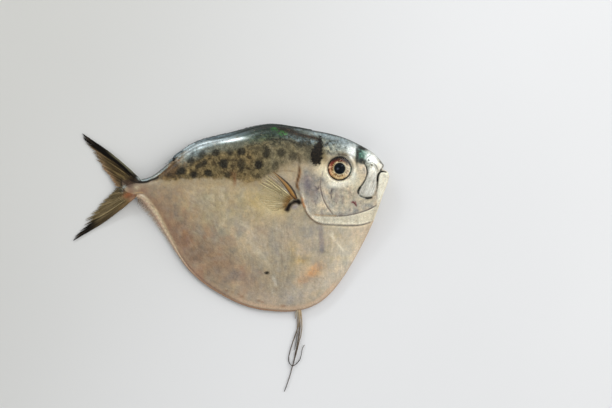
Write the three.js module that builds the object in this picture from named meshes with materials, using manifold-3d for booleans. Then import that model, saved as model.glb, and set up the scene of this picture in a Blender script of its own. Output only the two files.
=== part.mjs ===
// A whole raw moonfish lying on its left flank, right flank up, in millimetres.
// +X runs from the tail fin to the snout, +Y from the keel of the belly to the back, +Z up from the surface it lies on.
// The fish is one piece: flesh, gill covers, jaws, eyes and fins have all grown together, so it is one solid.
import * as THREE from "three";
import { mergeVertices } from "three/addons/utils/BufferGeometryUtils.js";
import Module from "manifold-3d";

const wasm = await Module();
wasm.setup();
const { Manifold, Mesh: SolidMesh } = wasm;

// ---------- driving sizes ----------
const EYE_AT = [68.4, 56.9]; // middle of the eye
const EYE_R = 7.4; // radius of the iris as it shows
const EYE_SOCKET_R = 7.9; // radius of the rim around it
const EYE_BULGE = 1.5; // how far the cornea stands out of the cheek
const PUPIL_R = 3.6;
const BELLY_EDGE_Z = 1.7; // the thin belly droops until its edge lies this high above the table
const GILL_STEP = 0.8; // height of the gill cover's free edge above the flank
const JAW_STEP = 0.8; // height of the upper jaw bone above the cheek
const FIN_T = 0.7; // thickness of the pectoral fin where it lies on the flank
const TAIL_ROOT_T = 2.2; // tail fin, thickness where the rays leave the stalk
const TAIL_EDGE_T = 0.9; // tail fin, thickness at the trailing edge
const FIN_FOLD_T = 1.1; // folded dorsal fin and anal fin along the edges
const ANAL_FOLD = 3.6; // extra width of the anal fin where it is broadest
const MOUTH_GAPE = 0.8; // opening between the jaws
const STEPS_ALONG = 52; // body grid, snout to tail
const STEPS_ROUND = 19; // body grid, belly to back on one flank

// The body is lofted through these sections. back and belly are where the section meets the outline,
// half is half its greatest thickness, mid is the height of its middle plane, keel is the thickness
// of the lower edge as a share of the greatest one.
const SECTIONS = [
  { name: "root of the tail fin", back: [-72.7, 49.4], belly: [-72.7, 39.4], half: 1.4, mid: 2.5, keel: 0.6 },
  { name: "stalk", back: [-67.0, 50.0], belly: [-67.0, 38.9], half: 2.2, mid: 3.3, keel: 0.6 },
  { name: "narrowest of the stalk", back: [-61.2, 50.5], belly: [-61.2, 40.2], half: 3.0, mid: 4.2, keel: 0.55 },
  { name: "end of the anal fin", back: [-55.5, 51.2], belly: [-56.1, 37.3], half: 3.3, mid: 5.0, keel: 0.4 },
  { name: "behind the dorsal fin", back: [-49.7, 54.0], belly: [-51.0, 31.0], half: 4.0, mid: 5.7, keel: 0.26 },
  { name: "end of the dorsal fin", back: [-43.3, 59.0], belly: [-46.5, 23.2], half: 4.7, mid: 6.0, keel: 0.19 },
  { name: "rear flank", back: [-36.3, 64.8], belly: [-40.1, 11.4], half: 5.4, mid: 6.2, keel: 0.15 },
  { name: "flank 2", back: [-27.3, 71.4], belly: [-31.1, -3.4], half: 6.3, mid: 6.7, keel: 0.13 },
  { name: "flank 3", back: [-16.4, 75.6], belly: [-19.0, -15.4], half: 7.0, mid: 6.9, keel: 0.12 },
  { name: "flank 4", back: [-4.3, 78.2], belly: [-4.3, -24.7], half: 7.7, mid: 7.2, keel: 0.11 },
  { name: "start of the dorsal fin", back: [9.2, 81.8], belly: [11.1, -31.2], half: 8.1, mid: 7.3, keel: 0.1 },
  { name: "highest of the back", back: [22.6, 84.9], belly: [27.1, -33.9], half: 8.5, mid: 7.6, keel: 0.1 },
  { name: "pelvic fins", back: [36.7, 84.2], belly: [43.1, -33.6], half: 8.7, mid: 7.7, keel: 0.1 },
  { name: "nape", back: [50.8, 82.0], belly: [57.2, -27.7], half: 8.5, mid: 7.7, keel: 0.11 },
  { name: "eye", back: [63.6, 79.5], belly: [69.3, -14.8], half: 8.0, mid: 7.6, keel: 0.12 },
  { name: "cheek", back: [75.1, 75.7], belly: [80.2, 3.0], half: 7.4, mid: 7.3, keel: 0.15 },
  { name: "forehead", back: [84.7, 70.8], belly: [88.2, 18.9], half: 6.4, mid: 7.2, keel: 0.22 },
  { name: "jaw bones", back: [91.7, 66.0], belly: [93.3, 31.7], half: 5.0, mid: 6.9, keel: 0.36 },
  { name: "jaw joint", back: [95.9, 61.0], belly: [96.9, 42.1], half: 3.8, mid: 6.8, keel: 0.5 },
  { name: "lips", back: [98.5, 56.9], belly: [99.4, 48.8], half: 2.6, mid: 6.7, keel: 0.6 },
  { name: "snout", back: [99.8, 54.4], belly: [100.3, 52.0], half: 1.2, mid: 6.7, keel: 0.7 },
];

// ---------- curves ----------
// A natural cubic spline through values vs at the increasing places us.
function spline(us, vs) {
  const n = us.length - 1;
  const h = us.slice(1).map((u, i) => u - us[i]);
  const m = new Array(n + 1).fill(0);
  const c = new Array(n + 1).fill(0);
  const d = new Array(n + 1).fill(0);
  for (let i = 1; i < n; i++) {
    const b = 2 * (h[i - 1] + h[i]) - h[i - 1] * c[i - 1];
    const r = 6 * ((vs[i + 1] - vs[i]) / h[i] - (vs[i] - vs[i - 1]) / h[i - 1]);
    c[i] = h[i] / b;
    d[i] = (r - h[i - 1] * d[i - 1]) / b;
  }
  for (let i = n - 1; i > 0; i--) m[i] = d[i] - c[i] * m[i + 1];
  return (u) => {
    let i = 0;
    while (i < n - 1 && u > us[i + 1]) i++;
    const a = (us[i + 1] - u) / h[i];
    const b = (u - us[i]) / h[i];
    return a * vs[i] + b * vs[i + 1] + (((a ** 3 - a) * m[i] + (b ** 3 - b) * m[i + 1]) * h[i] ** 2) / 6;
  };
}
const clamp01 = (v) => Math.min(1, Math.max(0, v));
const lerp = (a, b, t) => a + (b - a) * t;
const ease = (v) => clamp01(v) ** 2 * (3 - 2 * clamp01(v));

// Places of the sections along the fish, by the distance between their middles.
const places = [0];
for (let i = 1; i < SECTIONS.length; i++) {
  const middle = (s) => [(s.back[0] + s.belly[0]) / 2, (s.back[1] + s.belly[1]) / 2];
  const [a, b] = [middle(SECTIONS[i - 1]), middle(SECTIONS[i])];
  places.push(places[i - 1] + Math.hypot(b[0] - a[0], b[1] - a[1]));
}
const END = places.at(-1);
const through = (pick) => spline(places, SECTIONS.map(pick));
const at = {
  backX: through((s) => s.back[0]),
  backY: through((s) => s.back[1]),
  bellyX: through((s) => s.belly[0]),
  bellyY: through((s) => s.belly[1]),
  half: through((s) => s.half),
  mid: through((s) => s.mid),
  keel: through((s) => s.keel),
};

// Half thickness of a section at the share e of its height, from belly (0) to back (1).
const WIDEST_FROM_BELLY = 0.7;
const BACK_ROUNDING = 0.36;
const EDGE_ROUND_MM = 1.3;
function halfThickness(u, e) {
  const height = Math.hypot(at.backX(u) - at.bellyX(u), at.backY(u) - at.bellyY(u));
  const keel = at.keel(u);
  const rise = 1 - (1 - clamp01(e / WIDEST_FROM_BELLY)) ** 1.45;
  const edge = Math.sqrt(1 - (1 - clamp01((e * height) / EDGE_ROUND_MM)) ** 2);
  const back = Math.sqrt(1 - (1 - clamp01((1 - e) / BACK_ROUNDING)) ** 2.3);
  return at.half(u) * (keel + (1 - keel) * rise) * edge * back;
}
// The body's surface: side +1 is the flank that shows, -1 the flank on the table, flattened where it rests.
function skin(u, e, side) {
  // The thin belly droops; the stalk and the jaws are stiff and don't.
  const limp = ease((u - places[3]) / (places[6] - places[3])) * ease((places[19] - u) / (places[19] - places[15]));
  const sag = Math.max(0, at.mid(u) - BELLY_EDGE_Z) * limp * (1 - e) ** 3;
  const z = at.mid(u) - sag + side * halfThickness(u, e);
  return [
    lerp(at.bellyX(u), at.backX(u), e),
    lerp(at.bellyY(u), at.backY(u), e),
    Math.max(0, z),
  ];
}

// ---------- closed meshes ----------
function geometryOf(points, triangles) {
  const g = new THREE.BufferGeometry();
  g.setAttribute("position", new THREE.Float32BufferAttribute(points.flat(), 3));
  g.setIndex(triangles);
  return g;
}
function solidOf(geometry) {
  const g = geometry.clone();
  for (const name of Object.keys(g.attributes)) if (name !== "position") g.deleteAttribute(name);
  const merged = mergeVertices(g, 1e-4);
  const make = (triVerts) =>
    new Manifold(new SolidMesh({ numProp: 3, vertProperties: merged.attributes.position.array, triVerts }));
  const index = [];
  const list = merged.index.array;
  for (let i = 0; i < list.length; i += 3) {
    const [a, b, c] = [list[i], list[i + 1], list[i + 2]];
    if (a !== b && b !== c && a !== c) index.push(a, b, c);
  }
  let made = make(new Uint32Array(index));
  if (made.volume() < 0) {
    for (let i = 0; i < index.length; i += 3) [index[i + 1], index[i + 2]] = [index[i + 2], index[i + 1]];
    made = make(new Uint32Array(index));
  }
  return made;
}
// A closed slab between two grids of points, grid[i][j], joined all round their rims.
function slab(top, bottom) {
  const ni = top.length;
  const nj = top[0].length;
  const points = [...top.flat(), ...bottom.flat()];
  const T = (i, j) => i * nj + j;
  const B = (i, j) => ni * nj + i * nj + j;
  const tri = [];
  const quad = (a, b, c, d) => tri.push(a, b, c, a, c, d);
  for (let i = 0; i < ni - 1; i++)
    for (let j = 0; j < nj - 1; j++) {
      quad(T(i, j), T(i + 1, j), T(i + 1, j + 1), T(i, j + 1));
      quad(B(i, j), B(i, j + 1), B(i + 1, j + 1), B(i + 1, j));
    }
  for (let i = 0; i < ni - 1; i++) {
    quad(T(i, 0), B(i, 0), B(i + 1, 0), T(i + 1, 0));
    quad(T(i, nj - 1), T(i + 1, nj - 1), B(i + 1, nj - 1), B(i, nj - 1));
  }
  for (let j = 0; j < nj - 1; j++) {
    quad(T(0, j), T(0, j + 1), B(0, j + 1), B(0, j));
    quad(T(ni - 1, j), B(ni - 1, j), B(ni - 1, j + 1), T(ni - 1, j + 1));
  }
  return geometryOf(points, tri);
}
// A tapering filament along a curve through points [x, y, z, radius].
function filament(stations, steps, sides) {
  const curve = new THREE.CatmullRomCurve3(stations.map((s) => new THREE.Vector3(s[0], s[1], s[2])), false, "centripetal");
  const frames = curve.computeFrenetFrames(steps, false);
  const points = [];
  const tri = [];
  for (let i = 0; i <= steps; i++) {
    const f = i / steps;
    const k = curve.getUtoTmapping(f) * (stations.length - 1);
    const j = Math.min(stations.length - 2, Math.floor(k));
    const r = lerp(stations[j][3], stations[j + 1][3], k - j);
    const p = curve.getPointAt(f);
    for (let s = 0; s < sides; s++) {
      const a = (2 * Math.PI * s) / sides;
      const q = p
        .clone()
        .addScaledVector(frames.normals[i], Math.cos(a) * r)
        .addScaledVector(frames.binormals[i], Math.sin(a) * r);
      points.push([q.x, q.y, Math.max(0, q.z)]);
    }
  }
  for (let i = 0; i < steps; i++)
    for (let s = 0; s < sides; s++) {
      const t = (s + 1) % sides;
      const [a, b, c, d] = [i * sides + s, i * sides + t, (i + 1) * sides + t, (i + 1) * sides + s];
      tri.push(a, b, c, a, c, d);
    }
  for (let s = 1; s < sides - 1; s++) {
    tri.push(0, s + 1, s);
    const o = steps * sides;
    tri.push(o, o + s, o + s + 1);
  }
  return geometryOf(points, tri);
}

// ---------- body ----------
function bodyGeometry() {
  const points = [];
  const tri = [];
  const ring = 2 * STEPS_ROUND;
  for (let i = 0; i <= STEPS_ALONG; i++) {
    // Closer sections at the stalk and the snout, where the outline turns fastest.
    const f = i / STEPS_ALONG;
    const u = END * lerp(f, (1 - Math.cos(Math.PI * f)) / 2, 0.55);
    for (let k = 0; k < ring; k++) {
      const side = k <= STEPS_ROUND ? 1 : -1;
      const s = (k <= STEPS_ROUND ? k : ring - k) / STEPS_ROUND;
      const e = lerp(s, (1 - Math.cos(Math.PI * s)) / 2, 0.7);
      const p = skin(u, e, side);
      if (k === 0 || k === STEPS_ROUND) p[2] = skin(u, e, 1)[2];
      points.push(p);
    }
  }
  for (let i = 0; i < STEPS_ALONG; i++)
    for (let k = 0; k < ring; k++) {
      const l = (k + 1) % ring;
      const [a, b, c, d] = [i * ring + k, i * ring + l, (i + 1) * ring + l, (i + 1) * ring + k];
      tri.push(a, b, c, a, c, d);
    }
  for (const [i, flip] of [
    [0, true],
    [STEPS_ALONG, false],
  ])
    for (let s = 0; s < STEPS_ROUND; s++) {
      // The end section is flat: join each point of one flank with its twin on the other.
      const a = i * ring + s;
      const b = i * ring + s + 1;
      const c = i * ring + ((ring - s - 1) % ring);
      const d = i * ring + ((ring - s) % ring);
      const faces = [];
      if (s + 1 !== ring - s - 1) faces.push([a, b, c]);
      if (d !== a) faces.push([a, c, d]);
      for (const f of faces) tri.push(...(flip ? [f[0], f[2], f[1]] : f));
    }
  return geometryOf(points, tri);
}
const bodyShape = bodyGeometry();
const bodyMesh = new THREE.Mesh(bodyShape, new THREE.MeshBasicMaterial({ side: THREE.DoubleSide }));
bodyMesh.updateMatrixWorld(true);
const caster = new THREE.Raycaster();
// Height of the flank at x, y, looking from above (side 1) or from below (-1), or null off the body.
function flank(x, y, side) {
  caster.set(new THREE.Vector3(x, y, 60 * side), new THREE.Vector3(0, 0, -side));
  const hit = caster.intersectObject(bodyMesh, false)[0];
  return hit ? hit.point.z : null;
}
function flankNormal(x, y, side) {
  const d = 3;
  const z = (a, b) => flank(a, b, side) ?? flank(x, y, side);
  return new THREE.Vector3((z(x - d, y) - z(x + d, y)) / (2 * d), (z(x, y - d) - z(x, y + d)) / (2 * d), 1)
    .normalize()
    .multiplyScalar(side);
}
// A patch of skin that lies on the flank: raise(a, b) is how far it stands out of it, sunk 0.8 mm into the flesh.
function patch(side, ni, nj, place, raise) {
  const top = [];
  const bottom = [];
  for (let i = 0; i <= ni; i++) {
    top.push([]);
    bottom.push([]);
    for (let j = 0; j <= nj; j++) {
      const [x, y] = place(i / ni, j / nj);
      const z = flank(x, y, side);
      top[i].push([x, y, Math.max(0, z + side * raise(i / ni, j / nj))]);
      bottom[i].push([x, y, z - side * 0.8 < 0.1 ? 0.1 : z - side * 0.8]);
    }
  }
  return slab(top, bottom);
}
const curve2 = (pts) => {
  const c = new THREE.CatmullRomCurve3(pts.map(([x, y]) => new THREE.Vector3(x, y, 0)), false, "centripetal");
  return (f) => {
    const p = c.getPoint(clamp01(f));
    return [p.x, p.y];
  };
};
const mix2 = (a, b, t) => [lerp(a[0], b[0], t), lerp(a[1], b[1], t)];

const pieces = [];

// ---------- gill covers ----------
const gillEdge = curve2([[44.5, 61.5], [41.6, 52.0], [41.6, 44.5], [47.2, 32.2], [56.4, 22.6], [69.0, 20.9], [81.0, 21.6]]);
const gillFront = curve2([[58.0, 62.0], [60.0, 52.0], [62.0, 46.0], [65.5, 40.0], [70.0, 36.0], [76.0, 33.5], [83.5, 33.0]]);
for (const side of [1, -1])
  pieces.push(
    patch(side, 12, 5, (a, b) => mix2(gillEdge(a), gillFront(a), b), (a, b) => lerp(GILL_STEP, -0.5, b ** 0.8)),
  );

// ---------- upper jaw bones ----------
const jawRear = curve2([[88.6, 60.5], [86.4, 57.0], [85.6, 52.8], [83.2, 47.5], [80.6, 43.2], [82.1, 40.4]]);
const jawFront = curve2([[94.0, 60.0], [93.2, 57.0], [92.3, 53.4], [92.0, 48.6], [91.0, 43.2], [88.6, 39.6]]);
for (const side of [1, -1])
  pieces.push(
    patch(side, 9, 4, (a, b) => mix2(jawRear(a), jawFront(a), b), (a, b) => JAW_STEP * (0.55 + 0.45 * a) * (1 - 0.35 * b)),
  );

// ---------- pectoral fins, folded back on the flanks ----------
const PECTORAL_ROOT = curve2([[41.8, 38.6], [40.6, 37.2], [38.6, 35.2], [36.6, 32.6]]);
const PECTORAL_TIPS = curve2([[18.6, 59.2], [12.8, 55.0], [10.6, 49.0], [12.0, 42.5], [16.5, 36.6], [24.0, 31.4]]);
for (const side of [1, -1])
  pieces.push(
    patch(
      side,
      7,
      10,
      (a, b) => mix2(PECTORAL_ROOT(b), PECTORAL_TIPS(b), a),
      (a, b) => FIN_T * (1 - 0.5 * a) * (1 - 0.4 * b) * (b === 0 || b === 1 ? 0.8 : 1),
    ),
  );

// ---------- eyes: a domed cornea with the flat ring of the iris round it ----------
const eyeCuts = [];
for (const side of [1, -1]) {
  const z = flank(...EYE_AT, side);
  const normal = flankNormal(...EYE_AT, side);
  const turn = new THREE.Quaternion().setFromUnitVectors(new THREE.Vector3(0, 1, 0), normal);
  const placed = (g) => {
    g.applyQuaternion(turn);
    g.translate(EYE_AT[0], EYE_AT[1], z);
    const p = g.attributes.position;
    for (let i = 0; i < p.count; i++) p.setZ(i, Math.max(0, p.getZ(i)));
    return g;
  };
  const profile = [new THREE.Vector2(0, -1.6), new THREE.Vector2(EYE_R, -1.6), new THREE.Vector2(EYE_R, 0.1)];
  for (const [r, h] of [
    [EYE_R * 0.93, 0.62],
    [EYE_R * 0.76, 0.98],
    [PUPIL_R, EYE_BULGE * 0.88],
    [PUPIL_R * 0.5, EYE_BULGE * 0.97],
    [0, EYE_BULGE],
  ])
    profile.push(new THREE.Vector2(r, h));
  pieces.push(placed(new THREE.LatheGeometry(profile, 28)));
  if (side === 1) {
    const groove = new THREE.TorusGeometry(EYE_SOCKET_R, 0.55, 6, 28);
    groove.rotateX(Math.PI / 2);
    eyeCuts.push(placed(groove));
  }
}

// ---------- folded dorsal fin and anal fin: low ridges along the back and the belly ----------
function fringe(stations, thickness) {
  // stations: [x, y, inward x, inward y, height, z]
  const top = [];
  const bottom = [];
  for (const [x, y, ix, iy, h, z] of stations) {
    const outer = [x + ix * -h, y + iy * -h];
    const inner = [x + ix * 2.2, y + iy * 2.2];
    // Where the fold is wide it hangs down to the table.
    const low = z - Math.max(0, z - 0.8) * clamp01((h - 1) / 3);
    top.push([
      [...inner, z + thickness * 0.7],
      [...outer, low + thickness * 0.35],
    ]);
    bottom.push([
      [...inner, z - thickness * 0.7],
      [...outer, low - thickness * 0.35],
    ]);
  }
  return slab(top, bottom);
}
function alongEdge(which, from, to, steps, height) {
  const list = [];
  const X = which === "back" ? at.backX : at.bellyX;
  const Y = which === "back" ? at.backY : at.bellyY;
  for (let i = 0; i <= steps; i++) {
    const u = lerp(from, to, i / steps);
    const d = 0.5;
    const [tx, ty] = [X(u + d) - X(u - d), Y(u + d) - Y(u - d)];
    const len = Math.hypot(tx, ty);
    const s = which === "back" ? 1 : -1;
    const inward = [(ty / len) * s, (-tx / len) * s];
    const z = skin(u, which === "back" ? 1 : 0, 1)[2];
    list.push([X(u), Y(u), ...inward, height(i / steps), z]);
  }
  return list;
}
const placeOf = (name) => places[SECTIONS.findIndex((s) => s.name === name)];
// The anal fin is a broad soft fold behind the stalk and a mere hem under the belly.
const ANAL_FROM = placeOf("narrowest of the stalk") + 1.5;
const ANAL_TO = placeOf("pelvic fins") - 3;
function analHeight(f) {
  const s = (ANAL_TO - ANAL_FROM) * clamp01(f);
  return 0.25 + 0.75 * Math.sin(Math.PI * clamp01(f)) ** 0.5 + ANAL_FOLD * clamp01(s / 5) * Math.exp(-(((s - 12) / 12) ** 2));
}
pieces.push(
  fringe(alongEdge("back", placeOf("end of the dorsal fin") + 3.2, placeOf("highest of the back"), 18, (f) => 0.5 + 0.9 * Math.sin(Math.PI * clamp01(f)) ** 0.6), FIN_FOLD_T),
  fringe(alongEdge("belly", ANAL_FROM, ANAL_TO, 30, analHeight), FIN_FOLD_T),
);

// ---------- tail fin: two lobes of rays that fan out of the stalk ----------
// Height of the fin's middle plane: it sinks from the stalk until its tips lie on the table.
function tailMiddle(x, y) {
  const away = clamp01((-66 - x) / 26);
  return lerp(3.1, TAIL_EDGE_T / 2, Math.sin((Math.PI / 2) * away));
}
function lobe(root, tips, bow) {
  const rows = 10;
  const cols = 9;
  const top = [];
  const bottom = [];
  for (let i = 0; i <= rows; i++) {
    top.push([]);
    bottom.push([]);
    for (let j = 0; j <= cols; j++) {
      const [a, b] = [i / rows, j / cols];
      const [p, q] = [root(b), tips(b)];
      const n = [-(q[1] - p[1]), q[0] - p[0]];
      const swell = bow * Math.sin(Math.PI * a) * (1 - b);
      const len = Math.hypot(...n) || 1;
      const x = lerp(p[0], q[0], a) + (n[0] / len) * swell;
      const y = lerp(p[1], q[1], a) + (n[1] / len) * swell;
      // The first rays are the stoutest, and every other row of points stands a little proud, as rays do.
      const t = lerp(TAIL_ROOT_T, TAIL_EDGE_T, Math.sqrt(a)) * (1 + 0.35 * (1 - b) ** 3 * (1 - a)) * (j % 2 ? 0.86 : 1);
      const z = tailMiddle(x, y);
      top[i].push([x, y, z + t / 2]);
      bottom[i].push([x, y, Math.max(0, z - t / 2)]);
    }
  }
  return slab(top, bottom);
}
pieces.push(
  lobe(
    curve2([[-59.0, 50.6], [-64.0, 49.6], [-69.0, 48.6], [-71.5, 46.6], [-72.0, 43.2]]),
    curve2([[-94.6, 78.9], [-93.0, 72.9], [-88.4, 64.6], [-83.0, 57.2], [-77.6, 51.2], [-74.5, 44.6]]),
    -1.2,
  ),
  lobe(
    curve2([[-62.0, 40.4], [-66.0, 39.8], [-70.0, 40.4], [-71.6, 42.0], [-72.0, 45.6]]),
    curve2([[-100.4, 12.1], [-97.6, 17.6], [-90.6, 28.0], [-84.0, 35.4], [-77.4, 41.2], [-74.5, 44.9]]),
    1.4,
  ),
);

// ---------- pelvic fins: two long filaments and a short spike, from the keel down on to the table ----------
const keelZ = skin(placeOf("pelvic fins"), 0, 1)[2];
pieces.push(
  filament(
    [
      [42.6, -30.4, keelZ, 1.0],
      [42.8, -35.6, 1.5, 1.25],
      [42.9, -41.5, 1.2, 1.05],
      [42.5, -48.2, 0.9, 0.9],
      [40.9, -58.0, 0.72, 0.75],
      [38.4, -69.3, 0.62, 0.62],
      [36.0, -77.6, 0.52, 0.52],
      [33.1, -86.2, 0.4, 0.36],
    ],
    30,
    7,
  ),
  filament(
    [
      [42.4, -34.0, 1.4, 0.8],
      [41.9, -42.4, 0.9, 0.62],
      [39.5, -51.0, 0.6, 0.5],
      [36.6, -60.4, 0.5, 0.46],
      [35.7, -65.4, 0.48, 0.44],
      [36.6, -68.6, 0.46, 0.44],
      [38.4, -69.7, 0.46, 0.44],
      [40.6, -68.9, 0.46, 0.42],
      [42.9, -66.0, 0.44, 0.42],
      [44.3, -61.6, 0.42, 0.4],
      [44.9, -58.3, 0.4, 0.36],
      [46.0, -55.8, 0.36, 0.32],
    ],
    34,
    6,
  ),
  filament(
    [
      [41.4, -31.0, keelZ, 0.9],
      [40.8, -35.4, 1.3, 0.7],
      [40.2, -39.0, 0.9, 0.4],
    ],
    5,
    6,
  ),
);

// ---------- mouth: a slit between the jaws, cut right through the lips ----------
const mouthShape = new THREE.Shape([
  new THREE.Vector2(102.0, 55.6 + MOUTH_GAPE / 2),
  new THREE.Vector2(97.6, 55.6 + MOUTH_GAPE / 2),
  new THREE.Vector2(93.8, 53.6),
  new THREE.Vector2(97.4, 55.6 - MOUTH_GAPE / 2),
  new THREE.Vector2(102.0, 55.6 - MOUTH_GAPE / 2),
]);
const mouth = new THREE.ExtrudeGeometry(mouthShape, { depth: 20, bevelEnabled: false });

// ---------- the one solid ----------
let fish = solidOf(bodyShape);
for (const cut of eyeCuts) fish = fish.subtract(solidOf(cut));
for (const piece of pieces) fish = fish.add(solidOf(piece));
fish = fish.subtract(solidOf(mouth));
const largest = fish.decompose().sort((a, b) => b.volume() - a.volume())[0];

const made = largest.getMesh();
const shape = new THREE.BufferGeometry();
const xyz = new Float32Array(made.numVert * 3);
for (let i = 0; i < made.numVert; i++) xyz.set(made.vertProperties.subarray(i * made.numProp, i * made.numProp + 3), i * 3);
shape.setAttribute("position", new THREE.BufferAttribute(xyz, 3));
shape.setIndex(new THREE.BufferAttribute(made.triVerts, 1));
shape.computeVertexNormals();

const fishMesh = new THREE.Mesh(
  shape,
  new THREE.MeshStandardMaterial({ color: 0xb0a38f, roughness: 0.35, metalness: 0.0 }),
);
fishMesh.name = "fish";

const moonfish = new THREE.Group();
moonfish.name = "moonfish";
moonfish.add(fishMesh);
export default moonfish;
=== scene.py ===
# A whole raw moonfish lying on its left flank on a plain pale surface, seen from straight above.
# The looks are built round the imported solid, in metres: the body's skin, eyes, fins and filaments.
import math

import bpy
import numpy as np
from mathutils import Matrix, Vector


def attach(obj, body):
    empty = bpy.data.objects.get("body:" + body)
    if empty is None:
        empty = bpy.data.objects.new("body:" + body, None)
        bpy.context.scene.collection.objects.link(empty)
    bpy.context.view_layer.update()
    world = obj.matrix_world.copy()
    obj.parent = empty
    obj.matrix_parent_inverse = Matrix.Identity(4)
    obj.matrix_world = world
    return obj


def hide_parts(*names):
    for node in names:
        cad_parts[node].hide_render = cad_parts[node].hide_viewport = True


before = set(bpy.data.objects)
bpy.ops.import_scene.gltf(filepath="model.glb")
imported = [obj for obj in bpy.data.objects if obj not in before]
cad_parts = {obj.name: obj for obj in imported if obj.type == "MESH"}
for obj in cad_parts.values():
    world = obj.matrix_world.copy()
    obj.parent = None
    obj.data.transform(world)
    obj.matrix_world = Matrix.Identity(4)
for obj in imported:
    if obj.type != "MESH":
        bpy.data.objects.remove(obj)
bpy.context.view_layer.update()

MM = 0.001

# The photographed frame is 612 x 408; one of its pixels is 0.64 mm at the middle of the fish.
PX = 0.64
PX_X0, PX_Y0 = 232.65, 258.25
FRAME_W, FRAME_H = 612, 408


def at(px, py):
    """Millimetres on the fish for a place in the frame."""
    return ((px - PX_X0) * PX, (PX_Y0 - py) * PX)


def places(pts):
    return [at(*p) for p in pts]


# ---------------------------------------------------------------- numbers
def clamp01(v):
    return np.clip(v, 0.0, 1.0)


def lerp(a, b, t):
    return a + (b - a) * t


def smooth(lo, hi, v):
    t = clamp01((v - lo) / (hi - lo))
    return t * t * (3 - 2 * t)


def bell(v, width):
    return np.exp(-((v / width) ** 2))


def rand(ix, iy, seed):
    """A repeatable number from 0 to 1 for each whole-number place."""
    h = (np.asarray(ix, np.int64) * 374761393 + np.asarray(iy, np.int64) * 668265263 + seed * 974634777) & 0xFFFFFFFF
    h = ((h ^ (h >> 13)) * 1274126177) & 0xFFFFFFFF
    h = ((h ^ (h >> 16)) * 2246822519) & 0xFFFFFFFF
    return ((h ^ (h >> 15)) & 0xFFFFFF) / float(0xFFFFFF)


def vnoise(x, y, seed):
    x, y = np.asarray(x, float), np.asarray(y, float)
    x0, y0 = np.floor(x).astype(np.int64), np.floor(y).astype(np.int64)
    fx, fy = x - x0, y - y0
    fx, fy = fx * fx * (3 - 2 * fx), fy * fy * (3 - 2 * fy)
    a, b = rand(x0, y0, seed), rand(x0 + 1, y0, seed)
    c, d = rand(x0, y0 + 1, seed), rand(x0 + 1, y0 + 1, seed)
    return lerp(lerp(a, b, fx), lerp(c, d, fx), fy)


def fbm(x, y, seed, octaves=3):
    """Soft noise from -1 to 1."""
    total, size, gain = 0.0, 0.0, 1.0
    for o in range(octaves):
        total = total + gain * (vnoise(x * 2**o, y * 2**o, seed + 17 * o) * 2 - 1)
        size += gain
        gain *= 0.55
    return total / size


def linear(rgb):
    """Linear colour of an sRGB colour given as 0..255."""
    c = np.asarray(rgb, float) / 255.0
    return np.where(c <= 0.04045, c / 12.92, ((c + 0.055) / 1.055) ** 2.4)


# ---------------------------------------------------------------- curves
def spline(us, vs):
    """A natural cubic spline through vs at the places us."""
    us, vs = np.asarray(us, float), np.asarray(vs, float)
    n = len(us) - 1
    h = np.diff(us)
    m, c, d = np.zeros(n + 1), np.zeros(n + 1), np.zeros(n + 1)
    for i in range(1, n):
        b = 2 * (h[i - 1] + h[i]) - h[i - 1] * c[i - 1]
        r = 6 * ((vs[i + 1] - vs[i]) / h[i] - (vs[i] - vs[i - 1]) / h[i - 1])
        c[i] = h[i] / b
        d[i] = (r - h[i - 1] * d[i - 1]) / b
    for i in range(n - 1, 0, -1):
        m[i] = d[i] - c[i] * m[i + 1]

    def value(u):
        u = np.asarray(u, float)
        i = np.clip(np.searchsorted(us, u, side="left") - 1, 0, n - 1)
        a, b = (us[i + 1] - u) / h[i], (u - us[i]) / h[i]
        return a * vs[i] + b * vs[i + 1] + ((a**3 - a) * m[i] + (b**3 - b) * m[i + 1]) * h[i] ** 2 / 6

    return value


def through(pts, steps=10):
    """Points on a smooth curve through pts, by distance between them, in any number of dimensions."""
    pts = np.asarray(pts, float)
    us = np.concatenate([[0], np.cumsum(np.sqrt(np.linalg.norm(np.diff(pts[:, :2], axis=0), axis=1)) + 1e-6)])
    fine = np.concatenate([np.linspace(us[i], us[i + 1], steps, endpoint=False) for i in range(len(us) - 1)] + [[us[-1]]])
    return np.stack([spline(us, pts[:, k])(fine) for k in range(pts.shape[1])], 1)


def along(pts):
    """A function of 0..1 that gives places on the curve through pts, evenly by length."""
    fine = through(pts, 14)
    s = np.concatenate([[0], np.cumsum(np.linalg.norm(np.diff(fine[:, :2], axis=0), axis=1))])
    s /= s[-1]
    return lambda f: np.stack([np.interp(np.asarray(f, float), s, fine[:, k]) for k in range(fine.shape[1])], -1)


def distance(x, y, line):
    """Signed distance to a polyline (positive on its left) and the share of the way along it."""
    line = np.asarray(line, float)
    seg = np.diff(line[:, :2], axis=0)
    length = np.linalg.norm(seg, axis=1)
    start = np.concatenate([[0], np.cumsum(length)])
    best = np.full(x.shape, 1e9)
    sign = np.ones(x.shape)
    where = np.zeros(x.shape)
    for i in range(len(seg)):
        if length[i] < 1e-9:
            continue
        dx, dy = x - line[i, 0], y - line[i, 1]
        t = clamp01((dx * seg[i, 0] + dy * seg[i, 1]) / length[i] ** 2)
        ex, ey = dx - t * seg[i, 0], dy - t * seg[i, 1]
        d = ex * ex + ey * ey
        near = d < best
        best = np.where(near, d, best)
        side = seg[i, 0] * dy - seg[i, 1] * dx
        sign = np.where(near, np.where(side >= 0, 1.0, -1.0), sign)
        where = np.where(near, (start[i] + t * length[i]) / start[-1], where)
    return np.sqrt(best) * sign, where


def inside(x, y, ring):
    """True within a closed ring of points."""
    ring = np.asarray(ring, float)
    odd = np.zeros(x.shape, bool)
    for i in range(len(ring)):
        (x0, y0), (x1, y1) = ring[i - 1, :2], ring[i, :2]
        if y0 == y1:
            continue
        cross = (y0 > y) != (y1 > y)
        odd ^= cross & (x < (x1 - x0) * (y - y0) / (y1 - y0) + x0)
    return odd


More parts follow.
